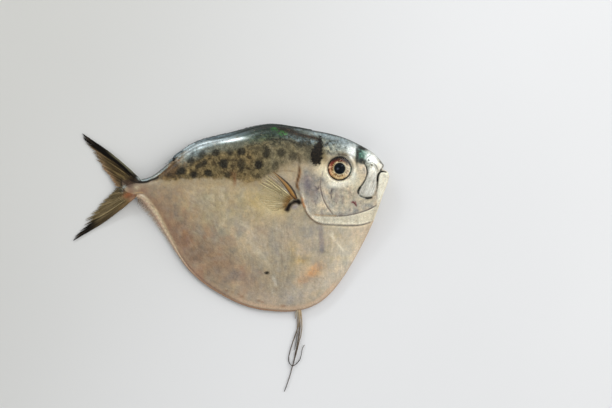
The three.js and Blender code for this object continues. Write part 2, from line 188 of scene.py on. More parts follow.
# ---------------------------------------------------------------- the body's sections, in millimetres
# back x, y; belly x, y; half the greatest thickness; height of the middle plane; keel thickness as a share
SECTIONS = [
    (-72.7, 49.4, -72.7, 39.4, 1.1, 2.2, 0.6),  # root of the tail fin
    (-67.0, 50.0, -67.0, 38.9, 2.2, 3.3, 0.6),  # stalk
    (-61.2, 50.5, -61.2, 40.2, 3.0, 4.2, 0.55),  # narrowest of the stalk
    (-55.5, 51.2, -56.1, 37.3, 3.3, 5.0, 0.4),  # end of the anal fin
    (-49.7, 54.0, -51.0, 31.0, 4.0, 5.7, 0.26),
    (-43.3, 59.0, -46.5, 23.2, 4.7, 6.0, 0.19),  # end of the dorsal fin
    (-36.3, 64.8, -40.1, 11.4, 5.4, 6.2, 0.15),
    (-27.3, 71.4, -31.1, -3.4, 6.3, 6.7, 0.13),
    (-16.4, 75.6, -19.0, -15.4, 7.0, 6.9, 0.12),
    (-4.3, 78.2, -4.3, -24.7, 7.7, 7.2, 0.11),
    (9.2, 81.8, 11.1, -31.2, 8.1, 7.3, 0.1),
    (22.6, 84.9, 27.1, -33.9, 8.5, 7.6, 0.1),  # highest of the back
    (36.7, 84.2, 43.1, -33.6, 8.7, 7.7, 0.1),  # pelvic fins
    (50.8, 82.0, 57.2, -27.7, 8.5, 7.7, 0.11),  # nape
    (63.6, 79.5, 69.3, -14.8, 8.0, 7.6, 0.12),  # eye
    (75.1, 75.7, 80.2, 3.0, 7.4, 7.3, 0.15),  # cheek
    (84.7, 70.8, 88.2, 18.9, 6.4, 7.2, 0.22),  # forehead
    (91.7, 66.0, 93.3, 31.7, 5.0, 6.9, 0.36),  # jaw bones
    (95.9, 61.0, 96.9, 42.1, 3.8, 6.8, 0.5),  # jaw joint
    (98.5, 56.9, 99.4, 48.8, 2.6, 6.7, 0.6),  # lips
    (99.8, 54.4, 100.3, 52.0, 1.2, 6.7, 0.7),  # snout
]
S = np.array(SECTIONS)
MIDDLE = (S[:, 0:2] + S[:, 2:4]) / 2
U_AT = np.concatenate([[0], np.cumsum(np.linalg.norm(np.diff(MIDDLE, axis=0), axis=1))])
U_END = U_AT[-1]
back_x, back_y, belly_x, belly_y, half, mid, keel = [spline(U_AT, S[:, k]) for k in range(7)]
BELLY_EDGE_Z = 1.7  # the thin belly droops until its edge lies this high above the surface
WIDEST_FROM_BELLY = 0.7
BACK_ROUNDING = 0.36
EDGE_ROUND = 1.3


def body_point(u, e, side):
    """A place on the bare body: u along it, e from belly (0) to back (1), side +1 for the flank that shows."""
    bx, by, ax, ay = back_x(u), back_y(u), belly_x(u), belly_y(u)
    height = np.hypot(bx - ax, by - ay)
    k = keel(u)
    rise = 1 - (1 - clamp01(e / WIDEST_FROM_BELLY)) ** 1.45
    edge = np.sqrt(1 - (1 - clamp01(e * height / EDGE_ROUND)) ** 2)
    back = np.sqrt(np.maximum(0, 1 - (1 - clamp01((1 - e) / BACK_ROUNDING)) ** 2.3))
    h = half(u) * (k + (1 - k) * rise) * edge * back
    limp = smooth(U_AT[3], U_AT[6], u) * smooth(U_AT[19], U_AT[15], u)
    sag = np.maximum(0, mid(u) - BELLY_EDGE_Z) * limp * (1 - e) ** 3
    # The stalk's end narrows and thins out between the two lobes of the tail.
    end = smooth(9.0, 0.0, u)
    f = lerp(e, 0.5 + (e - 0.5) * 0.52 - 0.02, end)
    h = h * (1 - 0.72 * end)
    return lerp(ax, bx, f), lerp(ay, by, f), mid(u) - sag + side * h


NOTCH = at(385.2, 168.6)  # the open mouth is a small notch in the outline, between the upper lip and the lower jaw


def notch(x, y):
    """Draws the skin back into the open mouth."""
    w = np.exp(-(((x - NOTCH[0]) / 1.55) ** 2 + ((y - NOTCH[1]) / 1.35) ** 2))
    return x - 2.3 * w, y - 0.75 * w


# Outlines in the plane, for distances from the edges.
_u = np.linspace(0, U_END, 150)
BACK_LINE = np.stack([back_x(_u), back_y(_u)], 1)
BELLY_LINE = np.stack([belly_x(_u), belly_y(_u)], 1)

# ---------------------------------------------------------------- features of the head, in the frame's places
GILL_EDGE = through(places([(300.2, 159), (299.6, 167), (299.0, 176), (297.2, 183), (298.0, 189), (301.4, 197), (303.4, 204), (306.2, 211), (310.2, 217),
                            (318.0, 222.6), (328, 224.5), (340, 225.2), (354, 225.5), (364, 224.2), (374, 220.6)]))
SMILE = through(places([(311.0, 213.6), (316, 215.2), (322.5, 215.9), (334, 216.3), (347.5, 215.3), (358.2, 213.0), (367, 210.2), (377, 205.0)]))
PREOPERCLE = through(places([(318.6, 176), (320.2, 186.8), (322.5, 197.5), (327.4, 207.3), (334.2, 215.6)]))
MAXILLA = [(366.6, 164.5), (366.7, 170.0), (366.9, 174.6), (365.0, 180.0), (361.4, 186.0), (358.3, 191.2), (359.0, 194.0), (363.0, 196.6),
           (368.0, 197.2), (372.2, 195.6), (375.0, 190.4), (376.6, 182.0), (376.9, 174.8), (375.4, 168.0), (371.5, 164.0)]
MAXILLA_RING = through(places(MAXILLA + MAXILLA[:1]), 6)
MAXILLA_LEFT = through(places([(361.6, 161.0), (365.2, 165.2), (366.9, 169.6), (366.8, 174.8), (364.8, 180.2), (361.2, 186.2), (358.0, 191.4), (358.8, 194.6),
                               (363.0, 197.2), (368.2, 197.9), (373.0, 197.4)]))
MOUTH = through(places([(387.6, 173.2), (384.6, 171.4), (381.0, 171.8), (378.4, 174.2), (377.2, 179.0), (377.0, 184.0), (376.4, 190.0)]))
UPPER_LIP = through(places([(379.2, 160.4), (381.4, 163.0), (383.6, 166.0), (381.6, 169.0), (379.2, 171.8)]))
SNOUT_FOLD = through(places([(374.6, 150.6), (371.0, 154.0), (366.5, 157.6), (363.6, 161.6)]))
AXIL = through(places([(286.6, 211.5), (287.8, 207.6), (291.6, 203.6), (296.6, 201.6), (301.0, 204.6)]))
EYE_PX = (339.4, 168.7)
EYE = at(*EYE_PX)
EYE_R = 7.65
PUPIL_R = 3.6


def relief(x, y, u, side):
    """How far the skin stands out of the bare body, in millimetres."""
    h = np.zeros(x.shape)
    head = x > 30
    hx, hy = x[head], y[head]
    g, t = distance(hx, hy, GILL_EDGE)
    # The gill cover is a plate whose rear and lower edge is free: it steps up at the edge and sinks back towards the cheek.
    a = np.zeros(hx.shape)
    ends = smooth(0.0, 0.07, t) * smooth(1.0, 0.9, t)
    a += 0.85 * smooth(-0.35, 0.45, g) * np.exp(-np.maximum(g, 0) / 9.0) * ends
    a -= 0.32 * bell(g + 0.75, 0.6) * ends
    # Its rim is a thickened cord of skin.
    a += 0.16 * bell(g - 0.75, 0.6) * ends
    s, t = distance(hx, hy, SMILE)
    ends = smooth(0.0, 0.1, t) * smooth(1.0, 0.93, t)
    a -= 0.42 * bell(s, 0.45) * ends
    a += 0.30 * bell(s - 1.3, 1.3) * ends - 0.12 * bell(s + 2.6, 1.8) * ends
    p, t = distance(hx, hy, PREOPERCLE)
    ends = smooth(0.0, 0.4, t) * smooth(1.0, 0.9, t)
    a -= 0.34 * bell(p, 0.42) * ends
    a += 0.26 * bell(p - 1.2, 1.1) * ends
    # Upper jaw bone: a smooth paddle on the cheek with a groove all round.
    m, t = distance(hx, hy, MAXILLA_RING)
    near = np.abs(m) < 8
    m = np.where(inside(hx, hy, MAXILLA_RING), np.abs(m), -np.abs(m))
    a += np.where(near, 0.85 * smooth(-0.15, 1.2, m) - 0.36 * bell(m + 0.5, 0.42), 0)
    lip, t = distance(hx, hy, MOUTH)
    a -= 0.95 * bell(lip, 0.42) * smooth(1.0, 0.8, t)
    a += 0.3 * bell(lip - 1.5, 1.2) + 0.3 * bell(lip + 1.6, 1.2) * smooth(1.0, 0.7, t)
    lip, t = distance(hx, hy, UPPER_LIP)
    a -= 0.35 * bell(lip, 0.36)
    f, t = distance(hx, hy, SNOUT_FOLD)
    a -= 0.22 * bell(f, 0.5)
    # Nostril: a small pit with a raised edge.
    n = np.hypot(*(np.array([hx, hy]) - np.array(at(371.4, 165.2))[:, None]))
    a += -0.75 * bell(n, 0.62) + 0.16 * bell(n - 1.25, 0.5)
    n = np.hypot(*(np.array([hx, hy]) - np.array(at(368.2, 160.6))[:, None]))
    a += -0.5 * bell(n, 0.45)
    # Eye socket: the hole that holds the eyeball, a groove round it and a soft lid.
    r = np.hypot(hx - EYE[0], hy - EYE[1])
    a += -2.6 * smooth(EYE_R + 0.1, EYE_R - 1.1, r) - 0.32 * bell(r - EYE_R - 0.25, 0.45) + 0.42 * bell(r - EYE_R - 1.5, 1.0)
    a += 0.25 * bell(r - EYE_R - 4.2, 2.2)
    # Bony ridges of the forehead over the eye and behind it.
    ridge, t = distance(hx, hy, through(places([(322, 157), (331, 153), (342, 151.5), (353, 154.5), (360, 160)])))
    a += 0.28 * bell(ridge, 1.8) * smooth(0, 0.2, t) * smooth(1, 0.8, t)
    h[head] += a
    # Pectoral hollow behind the gill cover.
    ax, t = distance(x, y, AXIL)
    h -= 0.55 * bell(ax, 0.8) * smooth(0, 0.15, t) * smooth(1, 0.85, t)
    # A rounded rim runs along the belly's edge, with a slight hollow above it, strongest behind.
    d, t = distance(x, y, BELLY_LINE)
    d = np.abs(d)
    rear = 0.45 + 0.55 * smooth(0.42, 0.22, t)
    body = smooth(-60, -54, x)
    beads = 0.35 + 1.1 * vnoise(x / 1.3, y / 1.3, 88)
    h += body * rear * (0.40 * bell(d - 1.0, 0.9) * beads - 0.26 * bell(d - 3.0, 1.3)) * smooth(97, 88, x)
    # The folded dorsal fin lies in a shallow groove under the back's edge.
    d, t = distance(x, y, BACK_LINE)
    d = np.abs(d)
    h += (0.2 * bell(d - 1.5, 0.8) - 0.18 * bell(d - 3.2, 1.0)) * smooth(-66, -60, x) * smooth(72, 50, x)
    # Soft flesh: broad dents, the faint muscle folds and the streaks of the skin.
    soft = smooth(-66, -40, x) * (1 - 0.6 * smooth(44, 60, x))
    h += soft * (0.26 * fbm(x / 17.0, y / 21.0, 5 + side, 2) + 0.07 * fbm(x / 5.0, y / 7.5, 31 + side, 2))
    fold = np.sin((x * 0.92 + 0.0045 * (y - 44) ** 2 + 1.3 * fbm(x / 9, y / 9, 77, 2)) * 2 * np.pi / 5.6)
    h += 0.028 * fold * soft * smooth(-26, -8, y) * smooth(70, 58, y) * smooth(46, 36, x)
    # Around the pelvic fins' root the keel is swollen.
    h += 0.5 * bell(np.hypot(x - 42.5, (y + 31.5)), 3.4)
    return h


# ---------------------------------------------------------------- colours of the skin, as sRGB 0..255
def zone(px, py, cx, cy, rx, ry, turn=0.0, soft=1.0):
    """Share 0..1 of a soft ellipse in the frame's places."""
    a = math.radians(turn)
    dx, dy = px - cx, py - cy
    ex, ey = (dx * math.cos(a) + dy * math.sin(a)) / rx, (-dx * math.sin(a) + dy * math.cos(a)) / ry
    return np.exp(-((ex * ex + ey * ey) ** soft))


def over(colour, share, rgb):
    return colour + (np.asarray(rgb, float) - colour) * np.clip(share, 0, 1)[:, None]


SPOTS = [  # x, y, half length, half height, turn, darkness
    (191.6, 160.4, 4.2, 3.4, -35, 0.8), (192.6, 153.6, 2.6, 2.6, 0, 0.45), (202.6, 154.4, 4.6, 4.0, -10, 0.75), (212.4, 148.2, 3.0, 2.2, 0, 0.3),
    (216.8, 153.0, 5.0, 4.2, -15, 0.9), (230.2, 152.4, 2.9, 4.0, 0, 0.62), (241.8, 151.8, 4.6, 4.3, 0, 0.9), (254.4, 153.6, 3.4, 2.8, 0, 0.3),
    (266.8, 153.2, 4.4, 5.6, 0, 0.82), (281.4, 153.0, 4.3, 4.4, 0, 0.72), (293.2, 157.2, 4.8, 4.6, 0, 0.62),
    (181.4, 171.2, 5.6, 4.2, -30, 0.95), (199.6, 165.6, 4.4, 3.2, -20, 0.8), (205.4, 162.8, 3.6, 4.2, 20, 0.95), (223.8, 163.6, 5.8, 5.2, 0, 0.95),
    (234.2, 167.8, 1.6, 3.0, 0, 0.5), (241.8, 165.0, 4.2, 6.4, 0, 0.72), (258.8, 165.2, 4.6, 5.0, 0, 0.97), (275.6, 166.0, 3.8, 6.0, 0, 0.5),
    (188.2, 177.4, 2.4, 2.2, 0, 0.5), (194.6, 174.8, 4.4, 3.4, -15, 0.95), (208.8, 173.4, 4.8, 4.0, 0, 0.95), (228.0, 174.8, 4.0, 3.6, 0, 0.82),
    (240.0, 174.6, 4.4, 3.6, 0, 0.34), (256.2, 176.8, 5.6, 2.2, 0, 0.42), (165.6, 168.8, 4.4, 2.6, -35, 0.5), (169.6, 174.6, 4.6, 2.0, -25, 0.7),
    (176.4, 164.6, 4.0, 2.8, -40, 0.55), (186.2, 166.4, 2.6, 2.2, 0, 0.35), (248.4, 171.6, 1.8, 2.0, 0, 0.3), (219.0, 142.5, 3.4, 1.6, 0, 0.15),
    (176.5, 177.2, 2.4, 1.6, -10, 0.5), (199.4, 177.6, 2.0, 1.4, 0, 0.4), (216.4, 166.0, 1.6, 1.8, 0, 0.3), (250.4, 158.4, 1.8, 1.5, 0, 0.25),
    (268.4, 172.4, 2.4, 1.6, 0, 0.3), (284.6, 162.4, 2.2, 1.8, 0, 0.3), (231.6, 160.4, 1.4, 1.4, 0, 0.25),
]
BLOTCH = [(320.6, 137.6, 0.8), (320.0, 142.0, 1.9), (318.8, 147.0, 3.3), (317.4, 152.0, 4.6), (315.8, 157.0, 5.4), (316.0, 160.4, 4.2)]
DARK_EDGE = through(places([(118, 184.0), (140, 183.4), (150, 182.4), (160, 179.6), (166, 180.2), (174, 179.2), (186, 179.4), (202, 178.6), (222, 178.8), (244, 180.8),
                            (258, 180.6), (266, 176.4), (274, 171.0), (284, 165.4), (296, 162.6), (306, 162.0), (316, 163.0), (324, 157.0), (334, 151.6),
                            (346, 149.0), (356, 148.0), (366, 148.0), (374, 150.0)]))
# The seam that runs along the back's edge on the stalk, and the dark line under it.
NAPE_BAND = through(places([(276.0, 128.0), (284.0, 129.6), (292.0, 132.2), (300.0, 134.8), (308.0, 136.8), (315.0, 138.4), (320.6, 140.8)]))
SEAM_LOW = through(places([(128.6, 178.6), (132.0, 180.6), (135.6, 182.0), (141.3, 182.0), (146.7, 181.6), (151.1, 180.0), (155.0, 178.8), (158.2, 177.3)]))
SEAM_SILVER = through(places([(135.4, 178.2), (138.6, 179.4), (142.0, 180.5), (146.6, 179.6), (151.6, 177.4)]))
ROOT_FOLD = through(places([(133.6, 193.6), (137.0, 192.6), (140.6, 192.2), (144.0, 192.6)]))
SEAM_TOP = through(places([(144.0, 178.3), (152.0, 175.0), (158.2, 169.4), (164.4, 165.0), (168.4, 161.4)]))


def scratches(x, y, count, seed, area, length, width, slope):
    """Short fine strokes scattered over an area of the skin, as a share 0..1."""
    x0, y0, x1, y1 = area
    share = np.zeros(len(x))
    for k in range(count):
        cx, cy = lerp(x0, x1, rand(k, 1, seed)), lerp(y0, y1, rand(k, 2, seed))
        a = math.radians(slope[0] + slope[1] * (rand(k, 3, seed) * 2 - 1))
        half_l = length * (0.4 + 0.6 * rand(k, 4, seed))
        near = (np.abs(x - cx) < half_l + 1) & (np.abs(y - cy) < half_l + 1)
        if not near.any():
            continue
        dx, dy = x[near] - cx, y[near] - cy
        s, d = dx * math.cos(a) + dy * math.sin(a), -dx * math.sin(a) + dy * math.cos(a)
        d = d + 0.05 * s * s / half_l * (rand(k, 5, seed) * 2 - 1)
        w = bell(d, width) * smooth(half_l, half_l * 0.4, np.abs(s)) * (0.4 + 0.6 * rand(k, 6, seed))
        share[near] = np.maximum(share[near], w)
    return share


def tail_root(c, x, y, share=1.0):
    """Colours where the stalk passes into the tail fin: silver, dark and reddish patches that run over both."""
    px, py = x / PX + PX_X0, PX_Y0 - y / PX
    n = fbm(x / 1.1, y / 1.1, 141, 3)
    wx, wy = px + 0.9 * n, py + 0.9 * fbm(x / 1.3, y / 1.3, 142, 3)
    for cx, cy, rx, ry, turn, k, tone in [
            (141, 184.6, 7.5, 2.6, -4, 0.7, (152, 137, 121)), (142, 190.6, 7.0, 3.2, 0, 0.7, (143, 113, 95)), (127.4, 182.8, 7.0, 3.2, 8, 0.95, (78, 61, 48)),
            (122.6, 183.0, 2.6, 3.2, 0, 0.6, (112, 98, 88)), (129.0, 186.2, 3.6, 2.4, 0, 0.9, (106, 84, 72)), (129.6, 190.6, 4.0, 2.4, 0, 0.85, (146, 115, 95)),
            (127.4, 195.2, 5.4, 2.9, -8, 0.95, (156, 100, 68)), (132.2, 197.6, 3.6, 2.6, -20, 0.75, (166, 130, 110)), (134.6, 195.2, 1.5, 1.1, 0, 0.6, (170, 112, 104)),
            (136.8, 187.6, 2.7, 2.2, 0, 0.85, (194, 179, 150)), (123.4, 186.8, 2.5, 1.4, -10, 0.85, (190, 198, 194)), (121.6, 190.4, 1.1, 3.0, 8, 0.7, (152, 154, 146)),
            (123.0, 190.4, 1.2, 1.2, 0, 0.7, (92, 74, 66)), (120.2, 182.4, 0.8, 4.0, 2, 0.9, (24, 20, 18)), (119.4, 190.0, 0.9, 2.0, 0, 0.6, (70, 78, 70))]:
        c = over(c, share * k * zone(wx, wy, cx, cy, rx, ry, turn, 1.2), tone)
    d, t = distance(x, y, ROOT_FOLD)
    c = over(c, share * 0.7 * bell(d, 0.35) * smooth(0, 0.2, t) * smooth(1, 0.8, t), (202, 168, 118))
    c = over(c, share * 0.5 * bell(d + 0.8, 0.4) * smooth(0, 0.2, t) * smooth(1, 0.8, t), (130, 96, 66))
    d, t = distance(x, y, SEAM_SILVER)
    c = over(c, share * 0.95 * bell(d + 0.2 * n, 0.55) * smooth(0, 0.12, t) * smooth(1, 0.85, t), (206, 218, 217))
    d, t = distance(x, y, SEAM_LOW)
    c = over(c, share * 0.95 * bell(d, 0.62) * smooth(0, 0.1, t) * smooth(0.75, 0.5, t), (24, 15, 13))
    return c


def paint(x, y, side, u):
    """Colour of the skin at each place, and the soft masks that the material sharpens."""
    px, py = x / PX + PX_X0, PX_Y0 - y / PX
    if side < 0:
        # The other flank is the same fish, but no two flanks match to the millimetre.
        px = px + 1.6 * fbm(x / 24, y / 24, 301, 2)
        py = py + 1.6 * fbm(x / 24, y / 24, 302, 2)
    n_big = fbm(x / 15, y / 17, 11 + side, 3)
    n_mid = fbm(x / 5.2, y / 5.6, 12 + side, 3)
    n_small = fbm(x / 1.9, y / 1.9, 13 + side, 3)
    n_tiny = fbm(x / 1.1, y / 1.1, 18 + side, 2)
    wx, wy = px + 3.2 * n_big, py + 3.2 * fbm(x / 15, y / 15, 14 + side, 3)
    streak = fbm((x + 0.003 * (y - 40) ** 2) / 1.5, y / 16.0, 15 + side, 3)

    # Belly: warm silver, pinker behind and below, paler towards the throat.
    c = np.tile(np.array([171.0, 157.0, 131.0]), (len(x), 1))
    c = over(c, 0.9 * zone(wx, wy, 160, 200, 26, 20), (152, 132, 108))
    c = over(c, 0.95 * zone(wx, wy, 184, 240, 40, 17, 55), (143, 111, 88))
    c = over(c, 0.85 * zone(wx, wy, 214, 262, 36, 18, 38), (143, 116, 93))
    c = over(c, 0.7 * zone(wx, wy, 240, 276, 28, 13, 20), (156, 136, 119))
    c = over(c, 0.55 * zone(wx, wy, 196, 214, 16, 9, 30), (158, 134, 104))
    c = over(c, 0.8 * zone(wx, wy, 226, 200, 34, 16), (169, 154, 123))
    c = over(c, 0.8 * zone(wx, wy, 262, 204, 26, 15), (176, 160, 118))
    c = over(c, 0.8 * zone(wx, wy, 252, 236, 26, 13, 35), (183, 170, 149))
    c = over(c, 0.7 * zone(wx, wy, 288, 240, 22, 24), (176, 164, 147))
    c = over(c, 0.9 * zone(wx, wy, 350, 256, 30, 46, 20), (204, 192, 171))
    c = over(c, 0.8 * zone(wx, wy, 324, 286, 24, 18), (199, 187, 170))
    c = over(c, 0.7 * zone(wx, wy, 298, 294, 18, 11), (184, 175, 162))
    c = over(c, 0.7 * zone(wx, wy, 268, 299, 30, 10, 4), (184, 166, 149))
    c = over(c, 0.45 * zone(wx, wy, 368, 232, 12, 22, 25), (199, 180, 157))
    c = over(c, 0.55 * zone(wx, wy, 309, 238, 12, 16), (168, 162, 152))
    c = over(c, 0.5 * zone(wx, wy, 344, 226, 24, 6), (205, 196, 172))
    c = over(c, 0.55 * zone(px, py, 289.5, 296, 4.5, 11, 0), (168, 163, 160))
    c = over(c, 0.4 * zone(px, py, 292, 182, 8, 9), (170, 156, 141))
    # Stains in it.
    blur = 0.65 + 0.35 * smooth(-0.4, 0.4, n_small)
    c = over(c, 0.85 * blur * zone(wx, wy, 315, 271, 9.5, 5, -20), (204, 152, 104))
    c = over(c, 0.8 * blur * zone(wx, wy, 305, 279.5, 8, 4.4, -20), (200, 148, 106))
    c = over(c, 0.55 * blur * zone(wx, wy, 318, 266, 4, 3, -30), (198, 142, 104))
    c = over(c, 0.8 * blur * zone(wx, wy, 302, 260, 8, 4), (192, 160, 98))
    c = over(c, 0.45 * blur * zone(wx, wy, 293, 252, 5, 12), (180, 158, 108))
    c = over(c, 0.4 * blur * zone(wx, wy, 322, 291, 8, 4, -30), (186, 168, 128))
    # The muscle shows through the thin skin as streaks, and the silver lies on it in clouds.
    streaky = 0.35 + zone(px, py, 287, 262, 13, 34, 0, 1.5) + 0.6 * zone(px, py, 256, 268, 26, 22) + 0.4 * zone(px, py, 335, 270, 30, 30)
    c = c * (1 + 0.09 * streaky * streak + 0.10 * n_mid + 0.03 * n_big + 0.07 * n_small)[:, None]
    c = c + np.outer(10.0 * n_mid, [0.6, -0.1, -0.8]) + np.outer(6.0 * n_big, [0.4, -0.3, -0.6]) + np.outer(7.0 * n_small, [0.4, 0.0, -0.5])
    pale_band = zone(wx, wy, 238, 228, 40, 9, 42, 1.2) + 0.7 * zone(wx, wy, 222, 196, 30, 8, 8) + 0.5 * zone(wx, wy, 345, 262, 22, 26)
    cream = smooth(0.05, 0.5, fbm(x / 3.4, y / 4.4, 41 + side, 3))
    c = over(c, 0.55 * cream * np.clip(pale_band, 0, 1) + 0.16 * cream, (206, 194, 166))
    grey = smooth(0.1, 0.5, fbm(x / 4.6, y / 6.5, 42 + side, 3))
    c = over(c, 0.3 * grey * (zone(px, py, 312, 240, 18, 22) + zone(px, py, 283, 268, 10, 34) + 0.7 * zone(px, py, 330, 284, 24, 18)), (150, 148, 146))
    pink = smooth(0.0, 0.5, fbm(x / 7.0, y / 9.0, 43 + side, 3)) * (zone(px, py, 196, 240, 52, 46) + zone(px, py, 225, 280, 40, 20))
    c = over(c, 0.34 * np.clip(pink, 0, 1), (154, 106, 84))
    gold = smooth(0.05, 0.5, fbm(x / 4.0, y / 5.0, 44 + side, 3)) * (zone(px, py, 262, 196, 34, 20) + 0.5 * zone(px, py, 330, 245, 34, 26))
    c = over(c, 0.34 * np.clip(gold, 0, 1), (188, 164, 102))
    haze = smooth(0.0, 0.4, fbm(x / 2.6, y / 3.2, 59 + side, 3)) * (px < 380)
    c = over(c, 0.22 * haze, (164, 156, 148))
    haze = smooth(0.0, 0.4, fbm(x / 3.0, y / 2.6, 60 + side, 3))
    c = over(c, 0.20 * haze, (196, 176, 142))
    haze = smooth(0.1, 0.45, fbm(x / 5.5, y / 4.0, 69 + side, 3)) * zone(px, py, 190, 215, 40, 30)
    c = over(c, 0.30 * haze, (170, 162, 128))
    fibre = scratches(x, y, 210, 61 + side, (-30, 0, 44, 52), 4.6, 0.26, (-40, 38))
    c = over(c, 0.30 * fibre, (214, 203, 178))
    fibre = scratches(x, y, 150, 63 + side, (-34, -28, 60, 50), 4.2, 0.26, (-52, 40))
    c = over(c, 0.24 * fibre, (122, 98, 78))
    fibre = scratches(x, y, 120, 65 + side, (14, -30, 80, 18), 6.5, 0.25, (88, 12))
    c = over(c, 0.22 * fibre, (136, 122, 106))
    fibre = scratches(x, y, 90, 67 + side, (14, -30, 84, 22), 5.5, 0.28, (86, 16))
    c = over(c, 0.25 * fibre, (220, 211, 190))

    # Edge of the belly.
    d_belly, t_belly = distance(x, y, BELLY_LINE)
    d_belly = np.abs(d_belly) / PX
    d_back, t_back = distance(x, y, BACK_LINE)
    d_back = np.abs(d_back) / PX
    body_part = smooth(0.045, 0.065, t_belly)
    # Behind: a beaded cream ridge, brown on its inner side.
    ridge = smooth(262, 236, py) * (px < 200) * body_part
    c = over(c, 0.5 * ridge * bell(d_belly - 5.5, 3.0), (146, 110, 86))
    beads = 0.62 + 0.5 * np.cos(2 * np.pi * (x * 0.45 + y * 0.89) / 1.9 + 2.5 * n_small) * 0.5 + 0.45 * n_small
    c = over(c, ridge * 0.95 * bell(d_belly - 1.0 - 0.4 * n_small, 1.9) * np.clip(beads, 0.3, 1.0), (226, 209, 172))
    low_rear = smooth(236, 262, py) * smooth(250, 222, px)
    c = over(c, low_rear * 0.6 * smooth(4.0, 0.8, d_belly), (130, 98, 82))
    c = over(c, low_rear * 0.3 * bell(d_belly - 4.2, 1.6), (176, 150, 124))
    # Below: a peach hem with a dark line at the very edge.
    low = smooth(222, 250, px) * smooth(276, 288, py)
    c = over(c, low * 0.75 * bell(d_belly - 3.2, 2.2), (197, 168, 142))
    c = over(c, low * 0.7 * smooth(1.6, 0.5, d_belly), (150, 118, 98))
    front_low = smooth(300, 318, px) * smooth(0.99, 0.94, t_belly)
    c = over(c, front_low * 0.6 * smooth(1.7, 0.3, d_belly), (172, 142, 116))
    c = over(c, front_low * 0.28 * bell(d_belly - 3.0, 1.5), (216, 196, 168))
    for bx, by, br in [(241.6, 296.8, 2.4), (258.6, 301.0, 2.0), (226.0, 291.0, 1.6), (283.0, 306.4, 2.4), (238.4, 294.6, 1.4), (232.0, 292.4, 1.2), (262.2, 302.6, 1.4)]:
        c = over(c, 0.5 * bell(np.hypot((px - bx) / 1.6, py - by), br * 0.6), (128, 84, 56))
        c = over(c, 0.35 * bell(np.hypot((px - bx) / 1.6, py - by + 1.6), br * 0.5), (212, 190, 164))

    # Stalk: tan, reddish below, silver at the root of the tail, a bright fold under it.
    c = over(c, 0.8 * zone(px, py, 140, 187, 12, 5), (150, 130, 108))
    c = over(c, 0.9 * zone(px, py, 141.4, 195.2, 3.4, 1.6, 35), (240, 226, 206))
    c = over(c, 0.6 * zone(px, py, 146.0, 199.2, 4.0, 1.7, 45), (222, 202, 170))

    # Head: a purple-grey gill cover, cream round the eye, pale jaws.
    g, gt = distance(x, y, GILL_EDGE)
    g = g / PX
    gill = smooth(-0.3, 0.7, g) * smooth(0.02, 0.12, gt) * (px > 294)
    head = np.zeros((len(x), 3)) + np.array([179.0, 169.0, 150.0])
    head = over(head, 0.95 * zone(wx, py, 308, 184, 12, 20), (146, 139, 131))
    head = over(head, 0.6 * zone(wx, py, 312, 203, 10, 9), (176, 170, 157))
    head = over(head, 0.7 * zone(wx, py, 304, 168, 8, 7), (162, 148, 124))
    head = over(head, 0.6 * zone(wx, py, 329, 206, 14, 9), (190, 183, 166))
    head = over(head, 0.7 * zone(wx, py, 348, 198, 12, 12), (186, 176, 155))
    head = over(head, 0.8 * zone(wx, py, 353, 182, 7, 12), (210, 198, 168))
    head = over(head, 0.5 * zone(wx, py, 362, 204, 12, 6), (196, 184, 160))
    head = over(head, 0.5 * smooth(0.0, 0.5, fbm(x / 3.0, y / 3.0, 46 + side, 3)) * zone(px, py, 350, 190, 18, 16), (214, 202, 170))
    head = over(head, 0.35 * smooth(0.0, 0.5, fbm(x / 2.6, y / 3.4, 47 + side, 3)), (198, 188, 166))
    head = over(head, 0.4 * smooth(0.1, 0.5, fbm(x / 2.2, y / 2.8, 48 + side, 3)), (132, 120, 116))
    head = head * (1 + 0.14 * n_mid + 0.15 * n_small + 0.05 * n_tiny)[:, None]
    head = head + np.outer(12.0 * n_mid, [0.7, 0.0, -0.9]) + np.outer(11.0 * n_small, [0.5, -0.1, -0.6])
    for bx, by, rx, ry, turn, share in [(307.5, 184.5, 3.6, 6.4, -10, 0.6), (316.0, 191.0, 2.0, 3.4, 0, 0.35), (311.0, 196.0, 3.2, 2.4, 0, 0.3), (301.5, 190.0, 2.2, 4.0, 0, 0.25),
                                        (308.5, 178.0, 3.0, 2.4, 0, 0.3), (314.0, 200.5, 2.4, 1.6, 30, 0.3), (324.5, 197.0, 1.6, 5.0, -8, 0.25)]:
        head = over(head, share * zone(wx, wy, bx, by, rx, ry, turn), (114, 106, 116))
    for bx, by, rx, ry, turn, share in [(302.5, 193.0, 1.4, 5.0, -14, 0.6), (341.0, 189.0, 5.0, 2.2, 10, 0.4), (357.0, 200.0, 5.0, 1.4, 8, 0.5), (347.0, 206.0, 8.0, 2.0, 4, 0.3), (368.0, 201.5, 5.0, 2.0, -10, 0.5)]:
        head = over(head, share * zone(wx, wy, bx, by, rx, ry, turn), (222, 210, 178))
    # Band between the two long lines under the gill cover.
    s, st = distance(x, y, SMILE)
    s = s / PX
    band = smooth(0.2, -0.8, s) * smooth(-0.2, 0.8, g) * smooth(0.0, 0.12, st)
    head = over(head, 0.9 * band, (209, 203, 182))
    head = over(head, 0.5 * band * smooth(0.0, 0.6, fbm(x / 2.0, y / 3.0, 49 + side, 3)), (228, 222, 198))
    head = over(head, 0.4 * band * smooth(0.1, 0.6, fbm(x / 2.4, y / 3.0, 50 + side, 3)), (176, 164, 138))
    head = over(head, 0.5 * band * zone(px, py, 366, 216, 9, 6), (228, 214, 186))
    share = np.where(px > 374, 1.0, gill)
    c = c * (1 - share)[:, None] + head * share[:, None]

